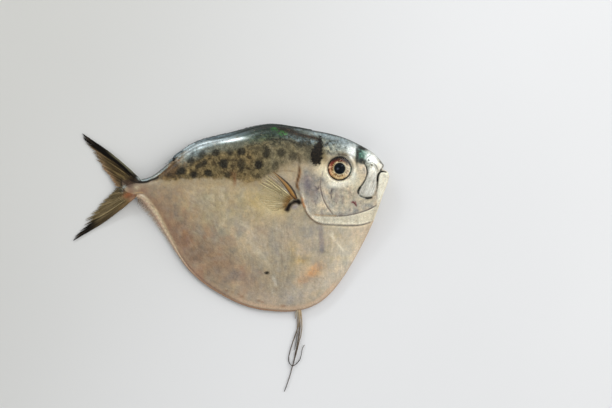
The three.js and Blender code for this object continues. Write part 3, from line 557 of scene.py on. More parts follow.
    # Around the eye.
    r = np.hypot(px - EYE_PX[0], py - EYE_PX[1])
    turn = np.degrees(np.arctan2(-(py - EYE_PX[1]), px - EYE_PX[0]))
    lower_left = smooth(80, 150, (turn + 360 - 60) % 360) * smooth(290, 250, (turn + 360 - 60) % 360)
    c = over(c, 0.92 * bell(r - 14.6, 3.4) * lower_left * (px > 300), (240, 233, 208))
    c = over(c, 0.8 * zone(px, py, 319.8, 171.0, 4.8, 6.4), (238, 224, 190))
    c = over(c, 0.6 * zone(px, py, 323.4, 170.4, 2.6, 4.4), (250, 240, 210))
    c = over(c, 0.85 * zone(px, py, 338, 184.6, 13, 3.2, -4), (248, 244, 226))
    c = over(c, 0.8 * zone(px, py, 353.4, 174.0, 3.8, 8.5), (224, 226, 213))
    c = over(c, 0.6 * zone(px, py, 357.0, 184.0, 4.0, 6.5, 10), (226, 216, 184))
    c = over(c, 0.7 * zone(px, py, 321.5, 163.5, 3.6, 4.6, -20), (218, 198, 158))
    c = over(c, 0.4 * bell(r - 13.0, 0.8) * smooth(-0.3, 0.4, n_small) * smooth(168, 176, py), (150, 128, 100))

    # Jaws.
    m, mt = distance(x, y, MAXILLA_RING)
    m = np.where(inside(x, y, MAXILLA_RING), np.abs(m), -np.abs(m)) / PX
    c = over(c, 0.9 * smooth(-0.4, 0.8, m), (208, 207, 196))
    c = over(c, 0.65 * smooth(0.5, 3, m) * zone(px, py, 373.8, 180, 2.2, 14), (236, 236, 227))
    c = over(c, 0.5 * smooth(0.3, 2, m) * zone(px, py, 364, 192.0, 4.6, 3.0), (178, 174, 166))
    c = over(c, 0.45 * smooth(0.3, 2, m) * smooth(0.0, 0.4, n_small), (166, 164, 154))
    grooves = fbm((px * 0.94 + py * 0.34) / 0.9, (py * 0.94 - px * 0.34) / 7.0, 151, 2)
    c = over(c, 0.42 * smooth(0.6, 2, m) * smooth(0.05, 0.35, grooves), (158, 156, 146))
    c = over(c, 0.5 * smooth(0.6, 2, m) * smooth(0.1, 0.4, -grooves), (240, 239, 230))
    front = smooth(376.2, 378.2, px) * smooth(168, 173, py)

    # Back: the dark ground above a soft wavy boundary.
    b, bt = distance(x, y, DARK_EDGE)
    b = b / PX + 2.0 * n_mid + 1.5 * n_small + 0.7 * n_tiny
    ground = np.zeros((len(x), 3)) + np.array([109.0, 96.0, 66.0])
    ground = over(ground, smooth(-0.1, 0.4, n_mid) * 0.6, (128, 108, 72))
    ground = over(ground, smooth(0.0, 0.5, -n_mid) * 0.5, (78, 66, 46))
    ground = over(ground, smooth(0.0, 0.35, fbm(x / 2.0, y / 2.6, 45 + side, 3)) * 0.55, (136, 117, 78))
    ground = over(ground, smooth(0.0, 0.35, fbm(x / 2.0, y / 2.4, 55 + side, 3)) * 0.7, (56, 46, 30))
    ground = over(ground, 0.55 * zone(px, py, 174, 166, 18, 8, -35), (112, 78, 50))
    ground = over(ground, 0.5 * smooth(7, 1, b) * smooth(150, 250, px), (134, 114, 78))
    ground = over(ground, 0.75 * smooth(248, 274, px), (104, 98, 76))
    ground = over(ground, 0.5 * zone(wx, py, 292, 162, 12, 6), (146, 134, 110))
    ground = over(ground, 0.45 * smooth(-0.1, 0.4, streak) * smooth(250, 280, px), (128, 120, 96))
    ground = over(ground, 0.8 * smooth(298, 312, px), (84, 80, 64))
    ground = over(ground, 0.9 * smooth(322, 334, px), (126, 134, 128))
    ground = over(ground, 0.6 * zone(px, py, 228, 148.5, 34, 5.6, -8), (84, 83, 66))
    ground = ground * (1 + 0.26 * n_small + 0.20 * n_tiny + 0.05 * streak)[:, None]
    width = lerp(1.8, 6.0, smooth(250, 300, px))
    dark = smooth(-width, width * 0.9, b) * smooth(150, 160, px)
    dark = dark * (1 - smooth(0, 1, (r < 15) * (py > 152)))
    # Below the boundary a golden stain fades into the belly.
    c = over(c, 0.5 * smooth(-11, -1, b) * smooth(150, 175, px) * smooth(302, 285, px) * (0.6 + 0.5 * n_mid), (146, 126, 88))
    c = over(c, 0.30 * smooth(-7, 0, b) * smooth(200, 235, px) * smooth(285, 270, px) * smooth(0.0, 0.5, n_small), (96, 74, 46))
    c = c * (1 - dark)[:, None] + ground * dark[:, None]

    # Towards the back's edge it turns from olive to slate and silver.
    slate = smooth(18, 9, d_back + 2.2 * n_mid + 1.2 * n_small) * smooth(174, 190, px + 2 * n_mid) * smooth(374, 366, px)
    slate_rgb = np.zeros((len(x), 3)) + np.array([108.0, 114.0, 104.0])
    slate_rgb = over(slate_rgb, zone(px, py, 200, 147, 24, 12, -18), (124, 137, 139))
    slate_rgb = over(slate_rgb, 0.95 * zone(px, py, 240, 134, 22, 4.6, -11, 1.3), (104, 121, 126))
    slate_rgb = over(slate_rgb, 0.97 * zone(px, py, 268, 132, 22, 12, 0), (42, 55, 46))
    slate_rgb = over(slate_rgb, 0.85 * zone(px, py, 302, 139, 18, 9, 6), (68, 74, 68))
    slate_rgb = over(slate_rgb, 0.9 * zone(px, py, 341, 145, 16, 9, 12), (122, 132, 128))
    slate_rgb = slate_rgb * (1 + 0.10 * n_mid + 0.20 * n_small + 0.16 * n_tiny)[:, None]
    c = c * (1 - slate)[:, None] + slate_rgb * slate[:, None]
    # The pale streak along the back is partly silver skin and partly a painted highlight, where the window light
    # reflects.
    silver_and_highlight_band = zone(px, py, 229, 140.2, 22, 2.3, -6, 1.6) + 0.75 * zone(px, py, 202, 145.0, 10, 3.0, -22, 1.3) + 0.55 * zone(px, py, 188, 151.4, 6, 2.6, -38, 1.2)
    c = over(c, 0.92 * silver_and_highlight_band * smooth(-0.9, 0.1, n_small + 0.6 * zone(px, py, 230, 140.2, 20, 2.4, -6)), (228, 238, 241))
    olive = smooth(0.2, 0.7, zone(px, py, 226, 147.0, 28, 2.8, -7))
    c = over(c, 0.5 * olive * (px < 262), (108, 106, 88))
    edge_dark = smooth(4.4, 1.6, d_back) * smooth(204, 216, px) * smooth(256, 246, px)
    c = over(c, 0.7 * edge_dark * (0.7 + 0.5 * n_small), (72, 84, 90))
    edge_pale = smooth(5.0, 2.0, d_back) * smooth(174, 180, px) * smooth(214, 204, px)
    c = over(c, 0.55 * edge_pale * smooth(-0.6, 0.3, n_small), (138, 152, 158))
    # Blue-grey clouds over the nape and the green glints behind it.
    cloud = smooth(-0.1, 0.35, fbm(x / 2.4, y / 1.5, 51 + side, 3)) * smooth(280, 290, px) * smooth(352, 336, px) * smooth(17, 12, d_back)
    c = over(c, 0.7 * cloud, (128, 146, 153))
    dusk = smooth(-0.05, 0.3, fbm(x / 1.9, y / 1.4, 52 + side, 3)) * smooth(240, 262, px) * smooth(352, 338, px) * smooth(24, 16, d_back)
    c = over(c, 0.78 * dusk, (30, 32, 28))
    mist = smooth(0.05, 0.45, fbm(x / 1.9, y / 1.5, 56 + side, 3)) * smooth(240, 250, px) * smooth(300, 288, px) * smooth(16, 9, d_back)
    c = over(c, 0.5 * mist, (96, 116, 108))
    c = over(c, 0.75 * zone(px, py, 273, 131.5, 15, 6.5, 4, 1.3) * smooth(-0.8, 0.2, -n_small), (40, 53, 45))
    c = over(c, 0.6 * zone(px, py, 268, 126.5, 7, 2.6, -8), (24, 30, 28))
    shard = fbm(x / 1.0, y / 0.8, 59 + side, 3)
    c = over(c, 0.65 * smooth(0.0, 0.3, shard) * zone(px, py, 266, 130, 16, 6.5, -6, 1.4), (22, 30, 28))
    c = over(c, 0.55 * smooth(0.0, 0.3, -shard) * zone(px, py, 266, 134, 15, 4.5, -6), (96, 124, 128))
    c = over(c, 0.5 * smooth(0.0, 0.3, -shard) * zone(px, py, 301, 139, 11, 5, 12), (142, 160, 170))
    glint = smooth(-0.06, 0.16, fbm(x / 0.9, y / 0.8, 58 + side, 2))
    c = over(c, 0.9 * glint * (zone(px, py, 273.6, 128.4, 4.4, 3.4, 40, 1.6) + zone(px, py, 283.0, 131.6, 4.8, 4.0, 30, 1.6)), (60, 216, 56))
    c = over(c, 0.6 * glint * zone(px, py, 271, 131, 10, 6, 0), (20, 26, 20))
    c = over(c, 0.5 * glint * zone(px, py, 262, 138, 14, 3.5, -8), (108, 126, 80))
    c = over(c, 0.6 * glint * zone(px, py, 296, 136, 12, 4, 5), (112, 142, 146))
    # A dark band with rusty grains leads from the dorsal fin down to the blotch; silver lies above it, clouds below.
    nd, nt = distance(x, y, NAPE_BAND)
    reach = lerp(0.6, 7.5, smooth(292, 342, px))
    above = smooth(reach + 1.6, reach - 0.8, d_back) * smooth(291, 301, px) * smooth(364, 352, px)
    c = over(c, 0.75 * above * smooth(-0.6, 0.3, n_small), (97, 111, 116))
    c = over(c, 0.6 * above * smooth(0.0, 0.4, n_tiny), (52, 62, 64))
    c = over(c, 0.35 * above * smooth(0.1, 0.5, -n_small), (166, 180, 184))
    c = over(c, 0.65 * zone(wx, wy, 336, 150.5, 10, 4.6, 8) * smooth(-0.6, 0.3, n_small), (172, 180, 170))
    c = over(c, 0.5 * zone(wx, wy, 336, 150.5, 12, 6, 8) * smooth(0.1, 0.4, n_tiny), (86, 90, 80))
    width = lerp(2.2, 0.95, smooth(0.1, 0.9, nt))
    band = np.exp(-((nd + 0.5 * n_small) / width) ** 2) * smooth(0.0, 0.08, nt) * smooth(1.0, 0.95, nt)
    c = over(c, 0.95 * band, (32, 27, 22))
    c = over(c, 0.5 * band * smooth(0.1, 0.4, n_tiny), (92, 70, 50))
    td, tt = distance(x, y, through(places([(268, 140.0), (274, 139.4), (281, 139.6), (290, 141.2), (297, 144.4), (306, 146.4), (313, 149.0)])))
    c = over(c, 0.8 * bell(td + 0.3 * n_small, 0.7) * smooth(0, 0.15, tt) * smooth(1, 0.85, tt), (44, 42, 34))
    rim = smooth(3.4, 1.4, d_back) * smooth(250, 262, px) * smooth(300, 288, px) + 0.9 * smooth(1.8, 0.6, d_back) * smooth(284, 292, px) * smooth(344, 326, px)
    c = over(c, 0.85 * rim, (22, 25, 24))
    c = over(c, 0.6 * zone(px, py, 271.6, 132.0, 4.6, 3.6, 0, 1.4) * smooth(0.5, -0.2, n_small), (34, 46, 38))
    c = over(c, 0.4 * zone(px, py, 262.0, 133.0, 12, 5.0, -10, 1.3) * smooth(-0.3, 0.3, n_mid), (44, 54, 46))
    # The flank's dark ground is broken by rusty and golden grains behind.
    rust = smooth(0.05, 0.4, fbm(x / 1.7, y / 1.7, 57 + side, 2)) * zone(px, py, 172, 164, 16, 10, -35)
    c = over(c, 0.6 * rust, (132, 84, 44))
    c = over(c, 0.6 * dark * zone(px, py, 168.5, 172.5, 8, 4.4, -25), (64, 50, 36))
    # The seam on the stalk.
    top_d, top_t = distance(x, y, SEAM_TOP)
    lowd, lowt = distance(x, y, SEAM_LOW)
    c = tail_root(c, x, y)
    strip = smooth(3.6, 2.6, d_back) * smooth(138, 145, px) * smooth(172, 166, px)
    c = over(c, 0.9 * strip * (0.75 + 0.4 * n_small), (148, 166, 172))
    c = over(c, 0.5 * strip * smooth(0.1, 0.5, n_tiny), (214, 226, 230))
    c = over(c, 0.95 * bell(lowd, 0.72) * smooth(136, 140, px), (20, 18, 16))
    quiet = smooth(174, 178, px) * smooth(222, 208, px)
    c = over(c, 0.85 * smooth(1.4, 0.4, d_back) * smooth(138, 143, px) * smooth(384, 378, px) * (1 - 0.9 * quiet), (38, 42, 40))
    # The fold that ends the dorsal fin: silver patches between black ones.
    end_fold = zone(px, py, 178.5, 156.0, 8, 4.4, -42, 1.4)
    c = over(c, 0.75 * end_fold * smooth(-0.3, 0.5, n_small), (176, 192, 198))
    c = over(c, 0.7 * end_fold * smooth(0.1, 0.5, n_tiny), (46, 46, 42))
    c = over(c, 0.95 * zone(px, py, 173.6, 158.8, 1.5, 1.7), (16, 16, 16))
    c = over(c, 0.8 * zone(px, py, 169.4, 161.2, 1.2, 1.0), (170, 158, 122))
    edge_light = smooth(0.66, 0.7, t_back) * smooth(0.9, 0.84, t_back) * bell(d_back - 3.4, 1.9)
    c = over(c, 0.7 * edge_light * (0.7 + 0.4 * n_small), (176, 190, 194))

    # Snout: bright silver with a black and teal bar, cream below; the white patches on the silver are partly painted
    # highlight, where the key light reflects.
    c = over(c, 0.6 * zone(wx, wy, 345.0, 147.0, 8.0, 4.6, 14) * smooth(-0.5, 0.3, n_small), (206, 216, 214))
    c = over(c, 0.94 * zone(px + n_small, py, 351.6, 152.4, 5.2, 8.4, 10, 1.5), (229, 233, 230))
    c = over(c, 0.92 * zone(px, py, 371.5, 158.0, 7.8, 8.6, -30, 1.6), (226, 230, 227))
    c = over(c, 0.5 * zone(px, py, 371.0, 158.0, 8, 9, -30) * smooth(0.1, 0.45, n_tiny), (170, 180, 176))
    c = over(c, 0.6 * zone(px, py, 371.5, 171.0, 4.6, 4.4, 0, 1.3), (224, 225, 214))
    c = over(c, 0.6 * zone(px, py, 381.0, 165.5, 3.0, 5.0), (226, 226, 214))
    c = over(c, 0.28 * zone(px, py, 369.5, 159.0, 7, 7) * smooth(0.0, 0.5, n_small), (168, 176, 172))
    teal = zone(wx, py, 360.4, 155.6, 4.2, 6.4, 8, 1.6)
    c = over(c, 0.97 * teal, (44, 84, 72))
    c = over(c, 0.9 * teal * smooth(-0.05, 0.25, n_small), (18, 36, 32))
    c = over(c, 0.55 * teal * smooth(0.1, 0.4, n_tiny), (138, 186, 168))
    c = over(c, 0.5 * zone(px, py, 365, 152.5, 2.6, 2.6), (176, 206, 196))
    for bx, by, rx, ry, turn, share in [(362.2, 148.2, 4.8, 2.0, 14, 0.97), (361.4, 161.4, 4.6, 2.7, 12, 0.96), (357.0, 157.0, 1.5, 6.6, 6, 0.95), (356.6, 151.0, 1.0, 3.4, 0, 0.6)]:
        c = over(c, share * zone(px, py, bx, by, rx, ry, turn, 1.5), (18, 20, 18))
    c = over(c, 0.35 * zone(px, py, 369.5, 165.4, 3.4, 1.6), (150, 150, 120))
    c = over(c, 0.92 * front, (225, 222, 204))
    c = over(c, 0.45 * front * smooth(0.0, 0.5, n_small), (240, 238, 224))
    c = over(c, 0.5 * front * smooth(196, 208, py), (208, 196, 170))
    c = over(c, 0.4 * front * smooth(2.2, 0.4, d_belly), (196, 182, 158))

    # Drawn lines, uneven in strength as creases are.
    uneven = 0.72 + 0.5 * smooth(-0.4, 0.4, fbm(x / 2.0, y / 2.0, 71 + side, 2))

    def ink(line, width, rgb, share=1.0, lo=0.0, hi=1.0, soft=0.04, offset=0.0, wander=0.18):
        nonlocal c
        d, t = distance(x, y, line)
        d = d + wander * fbm(x / 2.4, y / 2.4, 72 + side, 2)
        w = bell(d - offset, width) * smooth(lo - 1e-6, lo + soft, t) * smooth(hi + 1e-6, hi - soft, t)
        c = over(c, share * uneven * w, rgb)

    c = over(c, 0.45 * zone(wx, wy, 299.0, 161.0, 7.5, 8.5) * smooth(-0.5, 0.3, streak), (104, 92, 72))
    ink(GILL_EDGE, 0.75, (134, 90, 48), 0.85, 0.05, 0.28, 0.06, 0.2)
    ink(GILL_EDGE, 0.45, (66, 42, 26), 0.85, 0.04, 0.24, 0.05, -0.35)
    ink(GILL_EDGE, 0.55, (244, 232, 206), 0.95, 0.25, 0.56, 0.04, 0.85)
    ink(GILL_EDGE, 0.42, (112, 86, 62), 0.75, 0.27, 0.62, 0.04, -0.25)
    ink(GILL_EDGE, 0.5, (222, 130, 56), 0.95, 0.30, 0.41, 0.03, 0.1)
    ink(GILL_EDGE, 0.42, (96, 90, 84), 0.85, 0.58, 0.985, 0.03, 0.0)
    ink(GILL_EDGE, 0.55, (238, 222, 190), 0.6, 0.56, 0.98, 0.04, -1.0)
    ink(GILL_EDGE, 0.6, (240, 232, 208), 0.4, 0.5, 0.98, 0.04, 1.1)
    ink(SMILE, 0.34, (84, 76, 74), 0.95, 0.28, 1.0, 0.1)
    ink(SMILE, 0.42, (200, 164, 122), 0.7, 0.02, 0.4, 0.05, 0.3)
    ink(SMILE, 0.5, (236, 228, 206), 0.45, 0.2, 1.0, 0.1, -0.8)
    ink(PREOPERCLE, 0.34, (90, 78, 76), 0.8, 0.12, 1.0, 0.14)
    ink(PREOPERCLE, 0.45, (226, 214, 190), 0.35, 0.2, 1.0, 0.1, 0.8)
    ink(MAXILLA_LEFT, 0.40, (34, 34, 30), 0.95, 0.0, 0.5, 0.05, -0.1, 0.3)
    ink(MAXILLA_LEFT, 0.42, (40, 40, 36), 0.95, 0.4, 0.6, 0.05, -0.1, 0.2)
    ink(MAXILLA_LEFT, 0.66, (16, 18, 16), 1.3, 0.54, 0.72, 0.04, -0.1)
    ink(MAXILLA_LEFT, 0.5, (60, 66, 66), 0.8, 0.70, 0.9, 0.04, -0.1)
    ink(MAXILLA_LEFT, 0.62, (18, 20, 18), 1.2, 0.84, 1.0, 0.03, -0.1)
    ink(MOUTH, 0.5, (20, 20, 18), 1.2, 0.03, 0.72, 0.06)
    ink(MOUTH, 0.4, (110, 106, 94), 0.7, 0.65, 1.0, 0.08)
    ink(UPPER_LIP, 0.42, (40, 42, 38), 0.95, 0.0, 1.0, 0.12)
    ink(SNOUT_FOLD, 0.36, (140, 148, 148), 0.5, 0.0, 1.0, 0.15)
    n = np.hypot(px - 371.4, py - 165.2)
    c = over(c, 0.8 * bell(n, 1.1), (60, 58, 52))
    c = over(c, 0.5 * zone(px, py, 368.2, 160.6, 1.0, 1.0), (90, 92, 86))
    # The amber behind the pectoral fin's root, painted lighter under the fin as painted light against the shade its
    # rays cast; the dark fold under it and the grey-purple flesh bared inside.
    c = over(c, 0.7 * zone(px, py, 274.0, 201.0, 14, 11, 10), (210, 194, 152))
    c = over(c, 0.5 * zone(px, py, 281.0, 211.5, 7, 4.4, 10), (200, 176, 124))
    c = over(c, 0.55 * zone(px, py, 273.0, 208.5, 9, 6, 0), (226, 210, 168))
    c = over(c, 0.75 * zone(px, py, 285.4, 203.0, 3.2, 6.8, 10), (156, 114, 54))
    ink(AXIL, 1.25, (18, 11, 8), 1.4, 0.0, 1.0, 0.05, 0.0, 0.15)
    c = over(c, 0.95 * zone(px, py, 288.0, 209.8, 1.9, 2.2, 20, 1.6), (20, 13, 9))
    c = over(c, 0.85 * zone(px, py, 298.8, 200.6, 2.2, 1.3, 45, 1.6), (24, 18, 14))
    c = over(c, 0.85 * zone(px, py, 294.8, 206.8, 3.4, 2.2, -30, 1.5), (148, 139, 143))
    c = over(c, 0.55 * zone(px, py, 296.4, 205.4, 1.8, 0.9, -20), (188, 182, 176))
    # A crease from the fin's tip to the gill cover's top.
    ink(through(places([(266, 176.5), (276, 172.0), (287, 171.0), (298, 172.5)])), 0.5, (104, 84, 56), 0.35, 0.0, 1.0, 0.2)
    ink(through(places([(300.5, 166.0), (299.0, 158.0), (296.0, 151.0)])), 0.7, (60, 50, 34), 0.5, 0.0, 1.0, 0.3)

    # Forehead: gold and white flecks between the blotch and the eye, a thin brown brow.
    c = over(c, 0.6 * smooth(0.0, 0.4, n_small) * zone(px, py, 329, 151, 6, 7, 0), (206, 196, 160))
    c = over(c, 0.5 * zone(px, py, 324.5, 158, 3.0, 6.0, -10), (128, 108, 66))
    ink(through(places([(331.5, 154.5), (335.0, 152.2), (341.0, 152.6), (347.0, 154.8), (352.0, 156.4)])), 0.42, (104, 92, 66), 0.55, 0.0, 1.0, 0.2, 0.0, 0.35)
    ink(through(places([(334.0, 155.6), (340.0, 154.4), (346.0, 156.0), (351.0, 158.6)])), 0.36, (50, 40, 30), 0.8, 0.0, 1.0, 0.2, 0.0, 0.3)
    # Small marks.
    c = over(c, 0.95 * zone(px, py, 354.2, 203.2, 2.1, 0.8, 50, 1.3), (84, 22, 32))
    c = over(c, 0.9 * zone(px, py, 352.4, 202.2, 1.3, 0.8, -10, 1.3), (88, 24, 34))
    c = over(c, 0.85 * zone(px, py, 355.4, 202.2, 1.1, 0.5, 60), (110, 40, 48))
    c = over(c, 0.9 * zone(px, py, 355.8, 205.0, 0.7, 1.3, -10, 1.3), (78, 22, 30))
    for bx, by, rx, ry, turn, share in [(317.2, 189.4, 2.2, 0.7, -30, 0.7), (318.8, 187.4, 0.7, 1.5, 0, 0.6), (315.6, 187.0, 1.3, 0.6, 40, 0.5), (331.4, 191.0, 0.7, 2.2, 10, 0.7), (331.0, 196.6, 0.7, 2.4, -8, 0.6),
                                        (330.0, 193.4, 1.5, 0.6, 20, 0.45), (333.0, 189.4, 1.2, 0.6, -30, 0.4), (315.4, 204.0, 1.1, 0.7, 0, 0.4), (322.4, 174.0, 0.7, 3.0, 8, 0.35), (320.6, 181.0, 0.6, 3.2, 4, 0.35),
                                        (312.6, 205.8, 0.8, 0.6, 0, 0.4), (317.6, 198.4, 0.6, 1.3, 0, 0.35), (343.0, 200.0, 0.9, 0.6, 0, 0.25), (336.0, 203.0, 0.6, 1.0, 0, 0.25), (347.4, 186.6, 1.4, 0.5, 30, 0.3)]:
        c = over(c, min(1.0, 1.25 * share) * zone(px, py, bx, by, rx, ry, turn), (66, 56, 62))
    c = over(c, 0.62 * zone(px, py, 321.4, 240, 2.6, 13, -4, 1.6) * (0.7 + 0.5 * smooth(-0.3, 0.4, n_small)), (124, 118, 126))
    c = over(c, 0.5 * zone(px, py, 322.0, 250.5, 2.4, 2.2), (108, 104, 112))
    c = over(c, 0.6 * zone(px, py, 235.6, 178.0, 1.5, 9.0, 2, 1.5) * smooth(-0.4, 0.3, n_small), (120, 76, 50))
    c = over(c, 0.4 * zone(px, py, 233.0, 174.5, 3.6, 3.4), (104, 68, 44))
    c = over(c, 0.3 * zone(px, py, 320.0, 227, 4.0, 3.0), (120, 118, 128))
    c = over(c, 1.0 * zone(px, py, 266.8, 272.8, 2.5, 1.4, 0, 2.0), (8, 6, 5))
    for line, width, share, tone in [([(272.0, 274.0), (274.0, 280.5), (276.6, 288.0)], 0.9, 0.65, (228, 220, 200)), ([(326.0, 230.0), (335.0, 240.0), (342.0, 249.0), (348.0, 257.0)], 1.0, 0.6, (228, 218, 194)),
                                     ([(330.6, 229.0), (334.0, 236.0)], 0.8, 0.5, (226, 218, 196)), ([(244, 236), (252, 245), (262, 254), (268, 264), (272, 274)], 1.6, 0.32, (216, 206, 182)),
                                     ([(281.4, 222), (280.6, 240), (282.0, 262), (283.6, 290)], 0.5, 0.35, (130, 116, 100)), ([(287.6, 218), (286.8, 240), (288.0, 270), (289.0, 300)], 0.45, 0.30, (138, 124, 108)),
                                     ([(309.4, 222), (312.0, 234), (313.0, 246)], 0.7, 0.35, (150, 144, 142)), ([(334.5, 226.5), (343.0, 238.0), (350.0, 246.0)], 0.7, 0.3, (170, 150, 128)),
                                     ([(252, 226), (262, 231), (270, 238)], 0.6, 0.3, (140, 122, 102)), ([(213, 226), (220, 238), (231, 247)], 0.6, 0.25, (128, 100, 80)),
                                     ([(236, 222), (246, 226), (253, 233), (257, 243)], 1.0, 0.35, (208, 198, 174))]:
        d, t = distance(x, y, through(places(line)))
        c = over(c, share * uneven * bell(d + 0.3 * n_small, width) * smooth(0, 0.25, t) * smooth(1, 0.7, t), tone)

    # Masks that the material sharpens: distance to the spots and to the blotch, in millimetres.
    spot = np.full(len(x), 9.0)
    depth = np.zeros(len(x))
    sx, sy = px + 0.9 * n_mid, py + 0.9 * fbm(x / 5.2, y / 5.2, 16 + side, 2)
    for cx, cy, rx, ry, a, k in SPOTS:
        near = (np.abs(px - cx) < 12) & (np.abs(py - cy) < 12)
        a = math.radians(a)
        dx, dy = sx[near] - cx, sy[near] - cy
        ex, ey = (dx * math.cos(a) + dy * math.sin(a)) / rx, (-dx * math.sin(a) + dy * math.cos(a)) / ry
        d = (np.hypot(ex, ey) - 1) * min(rx, ry) * PX
        w = 1 / (1 + np.exp(np.clip(d * 3.0, -30, 30)))
        old_d, old_k = spot[near], depth[near]
        depth[near] = np.maximum(old_k, k * (0.15 + 0.85 * w))
        spot[near] = np.minimum(old_d, d)
    blotch = np.full(len(x), 9.0)
    for (x0, y0, r0), (x1, y1, r1) in zip(BLOTCH, BLOTCH[1:]):
        for f in np.linspace(0, 1, 6):
            blotch = np.minimum(blotch, (np.hypot(sx - lerp(x0, x1, f), sy - lerp(y0, y1, f)) - lerp(r0, r1, f)) * PX)
    # Silver: how far the skin mirrors like metal foil; wild: how strongly its colour is broken up.
    silver = 0.06 + 0.45 * np.clip(silver_and_highlight_band, 0, 1) + 0.15 * slate * smooth(260, 220, px)
    silver = silver + 0.45 * zone(px, py, 371.5, 160.0, 9, 12) + 0.45 * zone(px, py, 352.4, 151.8, 6, 9) + 0.10 * gill + 0.3 * strip
    silver = silver + 0.25 * edge_light
    wild = 0.34 + 0.66 * np.maximum(dark, slate) + 0.22 * gill
    wild = wild * (1 - 0.8 * np.clip(silver_and_highlight_band, 0, 1)) * (1 - 0.55 * zone(px, py, 274, 130, 15, 7))
    return c, spot, depth, blotch, np.clip(silver, 0, 0.8), np.clip(wild, 0, 1), np.clip(streaky, 0, 1)


# ---------------------------------------------------------------- meshes
def make_object(name, points, faces, smooth_shading=True):
    """A mesh object from points in millimetres and faces."""
    mesh = bpy.data.meshes.new(name)
    points = np.asarray(points, float) * MM
    faces = [np.asarray(f, np.int32) for f in (faces if isinstance(faces, list) else [faces])]
    faces = [f for f in faces if len(f)]
    loops = np.concatenate([f.ravel() for f in faces])
    sizes = np.concatenate([np.full(len(f), f.shape[1], np.int32) for f in faces])
    mesh.vertices.add(len(points))
    mesh.vertices.foreach_set("co", points.astype(np.float32).ravel())
    mesh.loops.add(len(loops))
    mesh.loops.foreach_set("vertex_index", loops.astype(np.int32))
    mesh.polygons.add(len(sizes))
    mesh.polygons.foreach_set("loop_start", np.concatenate([[0], np.cumsum(sizes)[:-1]]).astype(np.int32))
    mesh.polygons.foreach_set("loop_total", sizes)
    mesh.update(calc_edges=True)
    mesh.validate()
    mesh.polygons.foreach_set("use_smooth", np.full(len(mesh.polygons), smooth_shading))
    obj = bpy.data.objects.new(name, mesh)
    bpy.context.scene.collection.objects.link(obj)
    return obj


def put(obj, name, values, kind="FLOAT"):
    values = np.asarray(values, np.float32)
    attribute = obj.data.attributes.new(name, kind, "POINT")
    attribute.data.foreach_set({"FLOAT": "value", "FLOAT_COLOR": "color", "FLOAT_VECTOR": "vector"}[kind], values.ravel())


def put_colour(obj, name, srgb):
    rgb = linear(np.clip(srgb, 0, 255))
    put(obj, name, np.concatenate([rgb, np.ones((len(rgb), 1))], 1), "FLOAT_COLOR")


def grid_faces(ni, nj, offset=0, flip=False):
    i, j = np.meshgrid(np.arange(ni - 1), np.arange(nj - 1), indexing="ij")
    a = (i * nj + j).ravel() + offset
    f = np.stack([a, a + nj, a + nj + 1, a + 1], 1)
    return f[:, ::-1] if flip else f


class Mesh:
    """Gathers points, faces and per-point values of several bits into one mesh."""

    def __init__(self):
        self.points, self.faces, self.values, self.count = [], [], {}, 0

    def add(self, points, faces, **values):
        points = np.asarray(points, float).reshape(-1, 3)
        self.points.append(points)
        for f in faces if isinstance(faces, list) else [faces]:
            self.faces.append(np.asarray(f) + self.count)
        for k, v in values.items():
            v = np.asarray(v, float)
            self.values.setdefault(k, []).append(np.broadcast_to(v, (len(points),) + v.shape[1:]) if v.ndim else np.full(len(points), float(v)))
        self.count += len(points)

    def done(self, name):
        by_size = {}
        for f in self.faces:
            by_size.setdefault(f.shape[1], []).append(f)
        obj = make_object(name, np.concatenate(self.points), [np.concatenate(v) for v in by_size.values()])
        for k, v in self.values.items():
            v = np.concatenate(v)
            if v.ndim == 2:
                put_colour(obj, k, v)
            else:
                put(obj, k, v)
        return obj


def tube(mesh, path, radius, sides=6, flat=1.0, up=(0, 0, 1), floor=0.0, **values):
    """A tapering rod along a path, flattened towards up. values may be per station."""
    path = np.asarray(path, float)
    n = len(path)
    radius = np.broadcast_to(np.asarray(radius, float), (n,))
    tangent = np.gradient(path, axis=0)
    tangent /= np.linalg.norm(tangent, axis=1)[:, None] + 1e-12
    side = np.cross(tangent, np.asarray(up, float))
    side /= np.linalg.norm(side, axis=1)[:, None] + 1e-12
    over_ = np.cross(side, tangent)
    a = np.arange(sides) * 2 * np.pi / sides
    ring = path[:, None] + side[:, None] * (np.cos(a)[None, :, None] * radius[:, None, None]) + over_[:, None] * (np.sin(a)[None, :, None] * radius[:, None, None] * flat)
    ring[..., 2] = np.maximum(ring[..., 2], floor + 0.02)
    pts = ring.reshape(-1, 3)
    i, s = np.meshgrid(np.arange(n - 1), np.arange(sides), indexing="ij")
    t = (s + 1) % sides
    quads = np.stack([i * sides + s, i * sides + t, (i + 1) * sides + t, (i + 1) * sides + s], -1).reshape(-1, 4)
    ends = np.array([[0, k + 1, k] for k in range(1, sides - 1)] + [[(n - 1) * sides, (n - 1) * sides + k, (n - 1) * sides + k + 1] for k in range(1, sides - 1)])
    out = {}
    for k, v in values.items():
        v = np.asarray(v, float)
        out[k] = np.repeat(v, sides, axis=0) if v.ndim and len(v) == n else v
    mesh.add(pts, [quads, ends], **out)


# ---------------------------------------------------------------- body
def stations():
    """Places along the body, close together on the head and the stalk."""
    u = np.linspace(0, U_END, 4000)
    step = lerp(0.83, 0.265, smooth(U_END - 62, U_END - 48, u))
    step = np.minimum(step, lerp(0.42, 0.9, smooth(4, 16, u)))
    count = np.concatenate([[0], np.cumsum((u[1] - u[0]) / step[1:])])
    n = int(round(count[-1])) + 1
    return np.interp(np.linspace(0, count[-1], n), count, u)


N_UP, N_LOW = 176, 88
us = stations()


def levels(n):
    s = np.arange(n + 1) / n
    return lerp(s, (1 - np.cos(np.pi * s)) / 2, 0.55)


